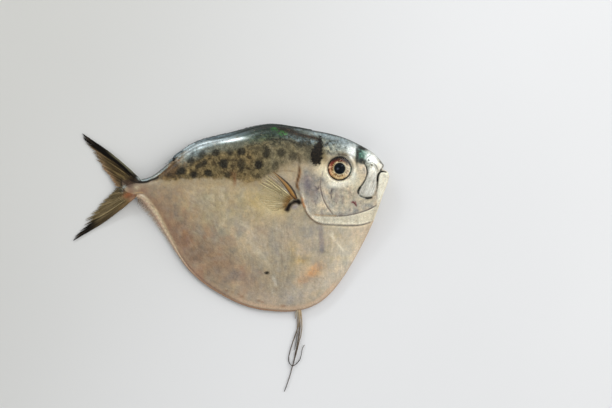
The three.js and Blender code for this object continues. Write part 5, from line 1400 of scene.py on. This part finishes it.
def pectoral(side, word):
    rays, skin = Mesh(), Mesh()
    height = SKIN[side]

    def place(a, b):
        p, q = PECTORAL_ROOT(b), PECTORAL_TIPS(b)
        mid_ = p + (q - p) * np.asarray(a)[..., None]
        n = np.stack([-(q[..., 1] - p[..., 1]), q[..., 0] - p[..., 0]], -1)
        n /= np.linalg.norm(n, axis=-1)[..., None] + 1e-9
        bow = (1.2 - 3.0 * b) * np.sin(np.pi * np.clip(a, 0, 1))
        xy = mid_ - n * bow[..., None]
        return xy[..., 0], xy[..., 1]

    def lift(a, b):
        return 0.45 * np.sin(np.pi * np.clip(a * 0.9 + 0.06, 0, 1)) * (1 - 0.55 * b) + 0.14

    def on_skin(x, y, up):
        z = height(x, y) + side * up
        return np.maximum(z, 0.12) if side < 0 else z

    # The leading rays have grown together to a broad amber blade.
    ni, nj = 30, 11
    T, W = np.meshgrid(np.linspace(0, 1, ni), np.linspace(0, 1, nj), indexing="ij")
    t, w = T.ravel(), W.ravel()
    xy = BLADE_TOP(t) * (1 - w)[:, None] + BLADE_LOW(t) * w[:, None]
    bulge = 0.42 * np.sqrt(np.maximum(0, 1 - (2 * w - 1) ** 2)) * smooth(1.02, 0.7, t) + 0.05 * np.cos(w * 4 * 2 * np.pi)
    z = height(xy[:, 0], xy[:, 1])
    up, down = z + side * (0.34 + bulge), z + side * 0.06
    if side < 0:
        up, down = np.maximum(up, 0.05), np.maximum(down, 0.14)
    grain = fbm(w * 8, t * 3, 93, 3)
    c = np.tile(np.array([152.0, 112.0, 60.0]), (len(t), 1))
    c = over(c, 0.75 * smooth(0.35, 0.8, t), (190, 166, 130))
    c = over(c, 0.6 * smooth(0.0, 0.5, grain), (122, 82, 42))
    c = over(c, 0.5 * smooth(0.0, 0.5, -grain), (206, 172, 112))
    c = over(c, 0.95 * smooth(0.40, 0.20, w), (40, 28, 18))
    c = over(c, 0.85 * smooth(0.68, 0.86, w) * smooth(0.95, 0.6, t), (66, 46, 28))
    c = over(c, 0.7 * smooth(0.16, 0.0, t), (70, 46, 26))
    pts = np.concatenate([np.column_stack([xy, up]), np.column_stack([xy, down])])
    cover = np.concatenate([np.ones(len(t))] * 2)
    faces = slab_faces(ni, nj)
    rays.add(pts, [f[:, ::-1] for f in faces] if side > 0 else faces, paint=np.concatenate([c, c]), cover=cover)

    def tone_of(a, b, key):
        """Colour and cover of a ray."""
        n = fbm(b * 30, a * 4 + key, 91, 2)
        if b[0] < 0.16:
            c, k = np.array([196.0, 190.0, 178.0]) if key % 2 else np.array([134.0, 118.0, 104.0]), 0.55
        elif b[0] < 0.36:
            c, k = (np.array([232.0, 222.0, 172.0]), 0.9) if key % 2 else (np.array([112.0, 92.0, 60.0]), 0.6)
        elif b[0] < 0.62:
            c, k = np.array([216.0, 202.0, 160.0]) if key % 2 else np.array([182.0, 164.0, 122.0]), 0.22
        elif b[0] < 0.86:
            c, k = (np.array([238.0, 226.0, 188.0]), 0.6) if key % 2 else (np.array([190.0, 172.0, 130.0]), 0.3)
        else:
            c, k = np.array([206.0, 190.0, 146.0]) if key % 2 else np.array([180.0, 160.0, 116.0]), 0.25
        c = np.tile(c, (len(a), 1)) * (1 + 0.14 * n)[:, None]
        c = over(c, 0.8 * smooth(0.24, 0.04, a), (146, 104, 52))
        k = k * smooth(1.0, 0.78, a) * lerp(0.7, 1.0, smooth(0.1, 0.4, a)) * (0.7 + 0.45 * smooth(-0.4, 0.3, n))
        return c, k

    COUNT = 30
    for key in range(COUNT):
        b1 = 0.06 + 0.92 * (key + 0.5) / COUNT
        b0 = 0.10 + 0.86 * (key // 2 + 0.5) / (COUNT // 2)
        reach = 0.97 - 0.18 * rand(key, 1, 33) - 0.16 * smooth(0.55, 1.0, b1)
        a = np.linspace(0, 1, 22) * reach
        b = np.clip(lerp(b0, b1, smooth(0.15, 0.8, a)) + 0.006 * np.sin(a * 8 + key), 0, 1)
        x, y = place(a, b)
        z = on_skin(x, y, lift(a, b))
        c, k = tone_of(a, np.full(22, b1), key)
        r = lerp(0.26, 0.10, smooth(0, 1, a / reach)) * (0.85 + 0.3 * rand(key, 2, 33))
        tube(rays, np.stack([x, y, z], 1), r, 6, 0.6, paint=c, cover=k)
    ni, nj = 30, 64
    A, B = np.meshgrid(np.linspace(0, 1, ni), np.linspace(0, 1, nj), indexing="ij")
    reach = 0.93 - 0.05 * vnoise(B * 24, B * 0, 35) - 0.16 * smooth(0.5, 1.0, B)
    a, b = (A * reach).ravel(), B.ravel()
    x, y = place(a, b)
    z = height(x, y) + side * lift(a, b)
    ridge = 0.04 * np.cos(b * COUNT * np.pi)
    top = np.stack([x, y, z + side * (0.06 + ridge)], 1)
    under = np.stack([x, y, z - side * 0.03], 1)
    if side < 0:
        top[:, 2], under[:, 2] = np.maximum(top[:, 2], 0.04), np.maximum(under[:, 2], 0.10)
    n = fbm(b * 14, a * 4, 95, 2)
    c = np.tile(np.array([204.0, 188.0, 144.0]), (len(a), 1))
    c = over(c, 0.4 * smooth(0.0, 0.5, n), (176, 156, 108))
    c = over(c, 0.6 * smooth(0.22, 0.1, b), (190, 184, 170))
    c = over(c, 0.8 * smooth(0.24, 0.0, a), (146, 104, 52))
    cover = 0.12 * smooth(1.0, 0.5, a / 0.93) * smooth(1.0, 0.86, b) + 0.16 * smooth(0.35, 0.05, a)
    faces = slab_faces(ni, nj)
    skin.add(np.concatenate([top, under]), [f[:, ::-1] for f in faces] if side > 0 else faces, paint=np.concatenate([c, c]), cover=np.concatenate([cover, cover]))
    return rays.done("pectoral_rays_" + word), skin.done("pectoral_web_" + word)


pectorals = [pectoral(1, "right"), pectoral(-1, "left")]

# ---------------------------------------------------------------- pelvic fins: long strands from the keel on to the surface
KEEL = float(body_point(np.array(U_AT[12]), np.array(0.0), 1)[2])
pelvic = Mesh()


def strand(pts, zs, r0, r1, colours, seed, sides=8, flat=0.75, wobble=0.12):
    xy = np.array(places(pts))
    full = through(np.column_stack([xy, np.array(zs)]), 12)
    s = np.concatenate([[0], np.cumsum(np.linalg.norm(np.diff(full, axis=0), axis=1))])
    f = s / s[-1]
    full[:, 0] += wobble * fbm(s / 3.1, s * 0, seed, 2)
    full[:, 1] += wobble * fbm(s / 3.3, s * 0 + 5, seed, 2)
    r = lerp(r0, r1, f**0.8) * (1 + 0.12 * fbm(s / 1.6, s * 0 + 9, seed, 2))
    full[:, 2] = np.maximum(full[:, 2], r * flat + 0.03)
    c = np.zeros((len(f), 3)) + np.asarray(colours[0], float)
    for start, end, tone in colours[1:]:
        c = over(c, smooth(start, end, f), tone)
    c = c * (1 + 0.16 * fbm(s / 1.2, s * 0, seed + 2, 2))[:, None]
    tube(pelvic, full, r, sides, flat, paint=c, cover=1.0)


tan, grey, dusk, dark_ = (182, 160, 128), (108, 98, 86), (84, 74, 66), (32, 28, 26)
strand([(299.0, 305.5), (299.2, 311.5), (299.6, 322), (299.2, 333.6), (296.6, 349), (292.7, 366.5), (288.9, 379.5), (284.3, 393)],
       [KEEL, 1.5, 1.2, 0.9, 0.7, 0.6, 0.5, 0.35], 0.78, 0.22, [tan, (0.05, 0.3, grey), (0.35, 0.6, dusk), (0.55, 0.85, (96, 88, 82)), (0.85, 1.0, dark_)], 5)
strand([(300.4, 307.0), (301.2, 316.0), (301.8, 326), (300.8, 336), (298.6, 345), (295.8, 356.0), (293.2, 366.0)],
       [KEEL, 1.5, 1.3, 1.2, 1.3, 1.1, 0.8], 0.46, 0.2, [tan, (0.1, 0.4, (128, 112, 92)), (0.4, 0.9, dusk)], 6, 7)
strand([(297.9, 306.6), (297.9, 316.0), (297.4, 327.0), (296.8, 338.0), (294.4, 351.0)],
       [KEEL, 1.2, 0.8, 0.6, 0.5], 0.42, 0.16, [(150, 136, 112), (0.1, 0.5, (120, 106, 90)), (0.5, 0.9, (70, 62, 56))], 16, 7)
strand([(299.4, 311.0), (298.6, 325.0), (294.6, 338), (290.4, 350.7), (288.6, 359.6), (289.6, 364.8), (292.7, 366.8), (295.8, 365.6), (299.4, 361.4),
        (301.5, 355), (302.6, 349.6), (304.4, 346.2)],
       [1.4, 0.9, 0.6, 0.5, 0.5, 0.5, 1.5, 0.6, 0.5, 0.5, 0.45, 0.4], 0.5, 0.2, [tan, (0.05, 0.3, grey), (0.3, 0.5, dusk), (0.45, 0.6, (56, 50, 46)), (0.85, 1.0, (84, 78, 70))], 7, 7)
strand([(297.4, 306.0), (296.6, 311.0), (295.8, 315.5), (295.2, 320.0)], [KEEL, 1.5, 1.2, 0.8], 0.7, 0.14, [(196, 182, 156), (0.5, 1.0, grey)], 8, 7)
strand([(298.4, 306.0), (297.9, 311.5), (298.0, 317.0), (297.6, 322.0)], [KEEL, 1.6, 1.4, 1.0], 0.6, 0.14, [(196, 182, 156), (0.5, 1.0, grey)], 9, 7)
pelvic_fin = pelvic.done("pelvic_fin")


# ---------------------------------------------------------------- materials
class Nodes:
    """Short names for building a node tree."""

    def __init__(self, name):
        self.material = bpy.data.materials.new(name)
        self.material.use_nodes = True
        self.tree = self.material.node_tree
        self.tree.nodes.clear()
        self.out = self.tree.nodes.new("ShaderNodeOutputMaterial")
        self.shader = self.tree.nodes.new("ShaderNodeBsdfPrincipled")
        self.tree.links.new(self.shader.outputs[0], self.out.inputs["Surface"])

    def new(self, kind, **settings):
        n = self.tree.nodes.new(kind)
        for k, v in settings.items():
            setattr(n, k, v)
        return n

    def link(self, source, target):
        if isinstance(source, (int, float)):
            target.default_value = source
        elif isinstance(source, (tuple, list)):
            target.default_value = tuple(source) if len(source) == len(target.default_value) else (*source, 1.0)
        else:
            self.tree.links.new(source, target)

    def attribute(self, name, output="Fac"):
        return self.new("ShaderNodeAttribute", attribute_name=name).outputs[output]

    def place(self, scale=(1000, 1000, 1000), source=None):
        m = self.new("ShaderNodeMapping")
        m.inputs["Scale"].default_value = scale
        self.link(source if source is not None else self.new("ShaderNodeTexCoord").outputs["Object"], m.inputs["Vector"])
        return m.outputs[0]

    def noise(self, vector, scale, detail=3.0, rough=0.55, distortion=0.0):
        n = self.new("ShaderNodeTexNoise")
        n.inputs["Scale"].default_value = scale
        n.inputs["Detail"].default_value = detail
        n.inputs["Roughness"].default_value = rough
        n.inputs["Distortion"].default_value = distortion
        self.link(vector, n.inputs["Vector"])
        return n.outputs["Fac"]

    def math(self, operation, a, b=0.0, clamp=False):
        n = self.new("ShaderNodeMath", operation=operation, use_clamp=clamp)
        self.link(a, n.inputs[0])
        self.link(b, n.inputs[1])
        return n.outputs[0]

    def range(self, value, lo, hi, to_lo=0.0, to_hi=1.0, soft=True):
        n = self.new("ShaderNodeMapRange", interpolation_type="SMOOTHSTEP" if soft else "LINEAR")
        self.link(value, n.inputs["Value"])
        for k, v in (("From Min", lo), ("From Max", hi), ("To Min", to_lo), ("To Max", to_hi)):
            n.inputs[k].default_value = v
        return n.outputs[0]

    def mix(self, share, a, b, blend="MIX"):
        n = self.new("ShaderNodeMix", data_type="RGBA", blend_type=blend)
        self.link(share, n.inputs[0])
        self.link(a, n.inputs[6])
        self.link(b, n.inputs[7])
        return n.outputs[2]

    def bump(self, height, distance_, strength=1.0, normal=None):
        n = self.new("ShaderNodeBump")
        n.inputs["Strength"].default_value = strength
        n.inputs["Distance"].default_value = distance_
        self.link(height, n.inputs["Height"])
        if normal is not None:
            self.link(normal, n.inputs["Normal"])
        return n.outputs[0]

    def grey(self, value, around=1.0):
        """A grey colour from a value, for multiplying."""
        n = self.new("ShaderNodeCombineColor")
        for k in range(3):
            self.link(value, n.inputs[k])
        return n.outputs[0]

    def set(self, **inputs):
        for k, v in inputs.items():
            self.link(v, self.shader.inputs[k.replace("_", " ")])
        return self.material


def rgb(*c):
    return tuple(float(v) for v in linear(c)) + (1.0,)


def skin_material():
    m = Nodes("fish_skin")
    place = m.place()
    grain = m.attribute("grain", "Vector")
    wild = m.attribute("wild")
    streak = m.noise(m.place((0.9, 0.13, 1.0), grain), 1.0, 5, 0.62)
    cloud = m.noise(place, 0.16, 4, 0.6)
    mottle = m.noise(place, 0.62, 5, 0.66, 0.4)
    speck = m.noise(place, 1.25, 4, 0.62, 0.3)
    fine = m.noise(place, 3.2, 3, 0.6)
    cross = m.math("ADD", m.noise(m.place((700, 2300, 1000)), 1.0, 3, 0.55), m.noise(m.place((2300, 800, 1000)), 1.0, 3, 0.55))
    colour = m.attribute("paint", "Color")
    # Fine streaks, clouds and mottling over the painted ground, strongest where the skin is darkest.
    value = m.math("MULTIPLY", m.range(streak, 0.25, 0.75, -0.165, 0.165, False), m.attribute("streaky"))
    value = m.math("ADD", value, m.range(cloud, 0.3, 0.7, -0.03, 0.03, False))
    value = m.math("ADD", value, m.range(cross, 0.7, 1.3, -0.03, 0.03, False))
    busy = m.math("ADD", m.range(mottle, 0.25, 0.75, -0.36, 0.36, False), m.range(speck, 0.25, 0.75, -0.40, 0.40, False))
    busy = m.math("ADD", busy, m.range(fine, 0.2, 0.8, -0.26, 0.26, False))
    value = m.math("ADD", value, m.math("MULTIPLY", busy, wild))
    value = m.math("ADD", value, 1.0)
    colour = m.mix(1.0, colour, m.grey(value), "MULTIPLY")
    tint = m.noise(m.place((0.16, 0.09, 1.0), grain), 1.0, 4, 0.6)
    pale = m.range(m.attribute("paint", "Color"), 0.05, 0.26)
    colour = m.mix(m.math("MULTIPLY", m.range(tint, 0.52, 0.72, 0.0, 0.16), pale), colour, rgb(194, 164, 118))
    colour = m.mix(m.math("MULTIPLY", m.range(tint, 0.46, 0.28, 0.0, 0.13), pale), colour, rgb(150, 138, 138))
    # Pale and dark grains scattered in the skin.
    grains = m.noise(place, 1.9, 2, 0.5, 0.6)
    colour = m.mix(m.math("MULTIPLY", m.range(grains, 0.60, 0.74, 0.0, 0.46), wild), colour, rgb(178, 164, 126))
    colour = m.mix(m.math("MULTIPLY", m.range(grains, 0.40, 0.27, 0.0, 0.78), wild), colour, rgb(40, 34, 26))
    # Spots: their edges are ragged with pigment grains.
    ragged = m.math("ADD", m.attribute("spot"), m.range(mottle, 0.2, 0.8, -0.8, 0.8, False))
    ragged = m.math("ADD", ragged, m.range(speck, 0.2, 0.8, -0.6, 0.6, False))
    spot = m.math("MULTIPLY", m.range(ragged, 1.0, -0.9), m.attribute("depth"))
    spot_colour = m.mix(m.range(speck, 0.42, 0.66), rgb(17, 15, 10), rgb(50, 50, 46))
    colour = m.mix(m.math("MULTIPLY", spot, 0.96), colour, spot_colour)
    blot = m.math("ADD", m.attribute("blotch"), m.range(mottle, 0.2, 0.8, -1.7, 1.7, False))
    blot = m.math("ADD", blot, m.range(speck, 0.2, 0.8, -0.7, 0.7, False))
    colour = m.mix(m.math("MULTIPLY", m.range(blot, 1.3, -0.4), 0.985), colour, m.mix(m.range(speck, 0.46, 0.66), rgb(8, 7, 5), rgb(46, 37, 24)))
    silver = m.attribute("silver")
    rough = m.math("ADD", m.range(mottle, 0.2, 0.8, 0.32, 0.48, False), m.range(streak, 0.2, 0.8, -0.05, 0.05, False))
    rough = m.math("SUBTRACT", rough, m.math("MULTIPLY", silver, 0.16))
    bump = m.bump(streak, 0.00010, 0.3)
    bump = m.bump(cross, 0.00006, 0.3, bump)
    bump = m.bump(mottle, 0.00012, 0.4, bump)
    bump = m.bump(fine, 0.00004, 0.35, bump)
    return m.set(Base_Color=colour, Metallic=silver, Roughness=rough, Normal=bump, IOR=1.38, Specular_IOR_Level=0.34, Coat_Weight=0.12, Coat_Roughness=0.12, Coat_IOR=1.36,
                 Subsurface_Weight=0.05, Subsurface_Radius=(1.0, 0.45, 0.3), Subsurface_Scale=0.0012)


def eye_material():
    m = Nodes("iris")
    place = m.place()
    colour = m.attribute("paint", "Color")
    fine = m.noise(place, 2.6, 4, 0.6)
    colour = m.mix(1.0, colour, m.grey(m.range(fine, 0.2, 0.8, 0.82, 1.18, False)), "MULTIPLY")
    bump = m.bump(fine, 0.00006, 0.4)
    return m.set(Base_Color=colour, Roughness=m.range(fine, 0.2, 0.8, 0.3, 0.45, False), Normal=bump, Specular_IOR_Level=0.08)


def cornea_material():
    m = Nodes("cornea")
    place = m.place()
    film = m.noise(place, 0.5, 2, 0.5)
    bump = m.bump(film, 0.00005, 0.25)
    tint = m.mix(m.range(film, 0.3, 0.7), rgb(252, 254, 255), rgb(244, 250, 252))
    return m.set(Base_Color=tint, Roughness=0.02, Transmission_Weight=1.0, IOR=1.14, Coat_Weight=0.25, Coat_Roughness=0.02, Normal=bump)


def fin_material(name, rough, coat, streaks=(1.2, 1.2, 1.2), sheen=0.3):
    m = Nodes(name)
    place = m.place(tuple(1000 * s for s in streaks))
    n = m.noise(place, 1.0, 4, 0.6)
    fine = m.noise(place, 4.2, 3, 0.6)
    colour = m.mix(1.0, m.attribute("paint", "Color"), m.grey(m.math("ADD", m.range(n, 0.2, 0.8, 0.84, 1.10, False), m.range(fine, 0.2, 0.8, -0.08, 0.12, False))), "MULTIPLY")
    bump = m.bump(n, 0.00010, 0.5)
    bump = m.bump(fine, 0.00005, 0.4, bump)
    return m.set(Base_Color=colour, Roughness=m.range(n, 0.2, 0.8, rough - 0.08, rough + 0.1, False), Normal=bump, Coat_Weight=coat, Coat_Roughness=0.16, IOR=1.40, Specular_IOR_Level=sheen)


def web_material(name, rough=0.34, coat=0.3):
    """Thin skin and fine rays: cover says how much they hide of what is behind them."""
    m = Nodes(name)
    place = m.place()
    n = m.noise(place, 0.9, 4, 0.6)
    fine = m.noise(place, 4.0, 3, 0.6)
    colour = m.mix(1.0, m.attribute("paint", "Color"), m.grey(m.range(n, 0.2, 0.8, 0.84, 1.16, False)), "MULTIPLY")
    cover = m.math("MULTIPLY", m.attribute("cover"), m.range(fine, 0.25, 0.75, 0.86, 1.14, False), True)
    bump = m.bump(n, 0.00008, 0.5)
    return m.set(Base_Color=colour, Roughness=m.range(n, 0.2, 0.8, rough - 0.06, rough + 0.12, False), Alpha=cover, Normal=bump, Coat_Weight=coat, Coat_Roughness=0.15, IOR=1.36, Specular_IOR_Level=0.35)


SKIN_MATERIAL = skin_material()
body.data.materials.append(SKIN_MATERIAL)
EYE_MATERIAL, CORNEA = eye_material(), cornea_material()
for o in eyes:
    o.data.materials.append(EYE_MATERIAL)
for o in corneas:
    o.data.materials.append(CORNEA)
tail_rays.data.materials.append(fin_material("tail_rays_skin", 0.55, 0.0, sheen=0.12))
tail_web.data.materials.append(web_material("tail_web_skin", 0.5, 0.0))
DORSAL_SKIN, ANAL_SKIN, PECTORAL_SKIN = web_material("dorsal_skin", 0.42, 0.1), web_material("anal_skin", 0.42, 0.1), web_material("pectoral_skin", 0.4, 0.15)
for o in (*dorsal, dorsal_hook):
    o.data.materials.append(DORSAL_SKIN)
for o in anal:
    o.data.materials.append(ANAL_SKIN)
for pair in pectorals:
    for o in pair:
        o.data.materials.append(PECTORAL_SKIN)
pelvic_fin.data.materials.append(fin_material("pelvic_skin", 0.45, 0.1))

# ---------------------------------------------------------------- floor, light and camera
floor_mesh = bpy.data.meshes.new("floor")
R = 2.2
floor_mesh.from_pydata([(-R, -R, 0), (R, -R, 0), (R, R, 0), (-R, R, 0)], [], [(0, 1, 2, 3)])
floor = bpy.data.objects.new("floor", floor_mesh)
bpy.context.scene.collection.objects.link(floor)
floor.location.z = -0.0002
m = Nodes("pale_floor")
cloud = m.noise(m.place((1, 1, 1)), 3.0, 3, 0.5)
# Painted shade: the floor is darker towards the left and the top, for light that falls off away from the key.
floor_shade_across = m.new("ShaderNodeSeparateXYZ")
m.link(m.place((1, 1, 1)), floor_shade_across.inputs[0])
floor_shade_across = m.math("SUBTRACT", floor_shade_across.outputs["X"], m.math("MULTIPLY", floor_shade_across.outputs["Y"], 0.5))
floor_shade_across = m.range(floor_shade_across, -0.25, 0.10, 0.0, 1.0)
base = m.mix(floor_shade_across, rgb(204, 204, 201), rgb(226, 227, 229))
floor_mesh.materials.append(m.set(Base_Color=m.mix(1.0, base, m.grey(m.range(cloud, 0.3, 0.7, 0.985, 1.015)), "MULTIPLY"), Roughness=0.6, IOR=1.3))


def area_light(name, place, aim, size, power, colour):
    data = bpy.data.lights.new(name, "AREA")
    data.shape = "RECTANGLE"
    data.size, data.size_y = size
    data.energy = power
    data.color = colour
    o = bpy.data.objects.new(name, data)
    bpy.context.scene.collection.objects.link(o)
    o.location = place
    o.rotation_euler = (Vector(aim) - Vector(place)).to_track_quat("-Z", "Y").to_euler()
    return o


area_light("key", (0.95, 0.50, 0.85), (0.0, 0.0, 0.0), (1.3, 1.3), 13.6, (1.0, 0.995, 0.985))
area_light("window", (-0.50, 0.90, 0.46), (0.0, 0.05, 0.0), (0.62, 0.10), 2.8, (0.93, 0.975, 1.0))

world = bpy.data.worlds.new("studio")
bpy.context.scene.world = world
world.use_nodes = True
tree = world.node_tree
tree.nodes.clear()
out = tree.nodes.new("ShaderNodeOutputWorld")
background = tree.nodes.new("ShaderNodeBackground")
coordinate = tree.nodes.new("ShaderNodeTexCoord")
split = tree.nodes.new("ShaderNodeSeparateXYZ")
ramp = tree.nodes.new("ShaderNodeValToRGB")
stops = [(0.0, 1.0), (0.55, 0.86), (0.8, 0.30), (1.0, 0.07)]
for position, _ in stops[1:3]:
    ramp.color_ramp.elements.new(position)
for k, (position, level) in enumerate(stops):
    ramp.color_ramp.elements[k].color = (level, level, level * 0.985, 1)
tree.links.new(coordinate.outputs["Generated"], split.inputs[0])
tree.links.new(split.outputs["Z"], ramp.inputs[0])
tree.links.new(ramp.outputs[0], background.inputs["Color"])
background.inputs["Strength"].default_value = 1.10
tree.links.new(background.outputs[0], out.inputs[0])

camera_data = bpy.data.cameras.new("camera")
camera_data.sensor_fit = "HORIZONTAL"
camera_data.sensor_width = 36.0
camera_data.lens = 85.0
camera = bpy.data.objects.new("camera", camera_data)
bpy.context.scene.collection.objects.link(camera)
distance_up = FRAME_W * PX * 85.0 / 36.0 + 8.0
cx, cy = at(FRAME_W / 2, FRAME_H / 2)
camera.location = (cx * MM, cy * MM, distance_up * MM)
camera.rotation_euler = (0, 0, 0)
bpy.context.scene.camera = camera
bpy.context.scene.view_settings.view_transform = "Standard"
bpy.context.scene.view_settings.look = "None"

# ---------------------------------------------------------------- riding on the frame
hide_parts("fish")
pieces = [body, *eyes, *corneas, tail_rays, tail_web, *dorsal, dorsal_hook, *anal, pelvic_fin] + [o for pair in pectorals for o in pair]
for piece in pieces:
    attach(piece, "root")
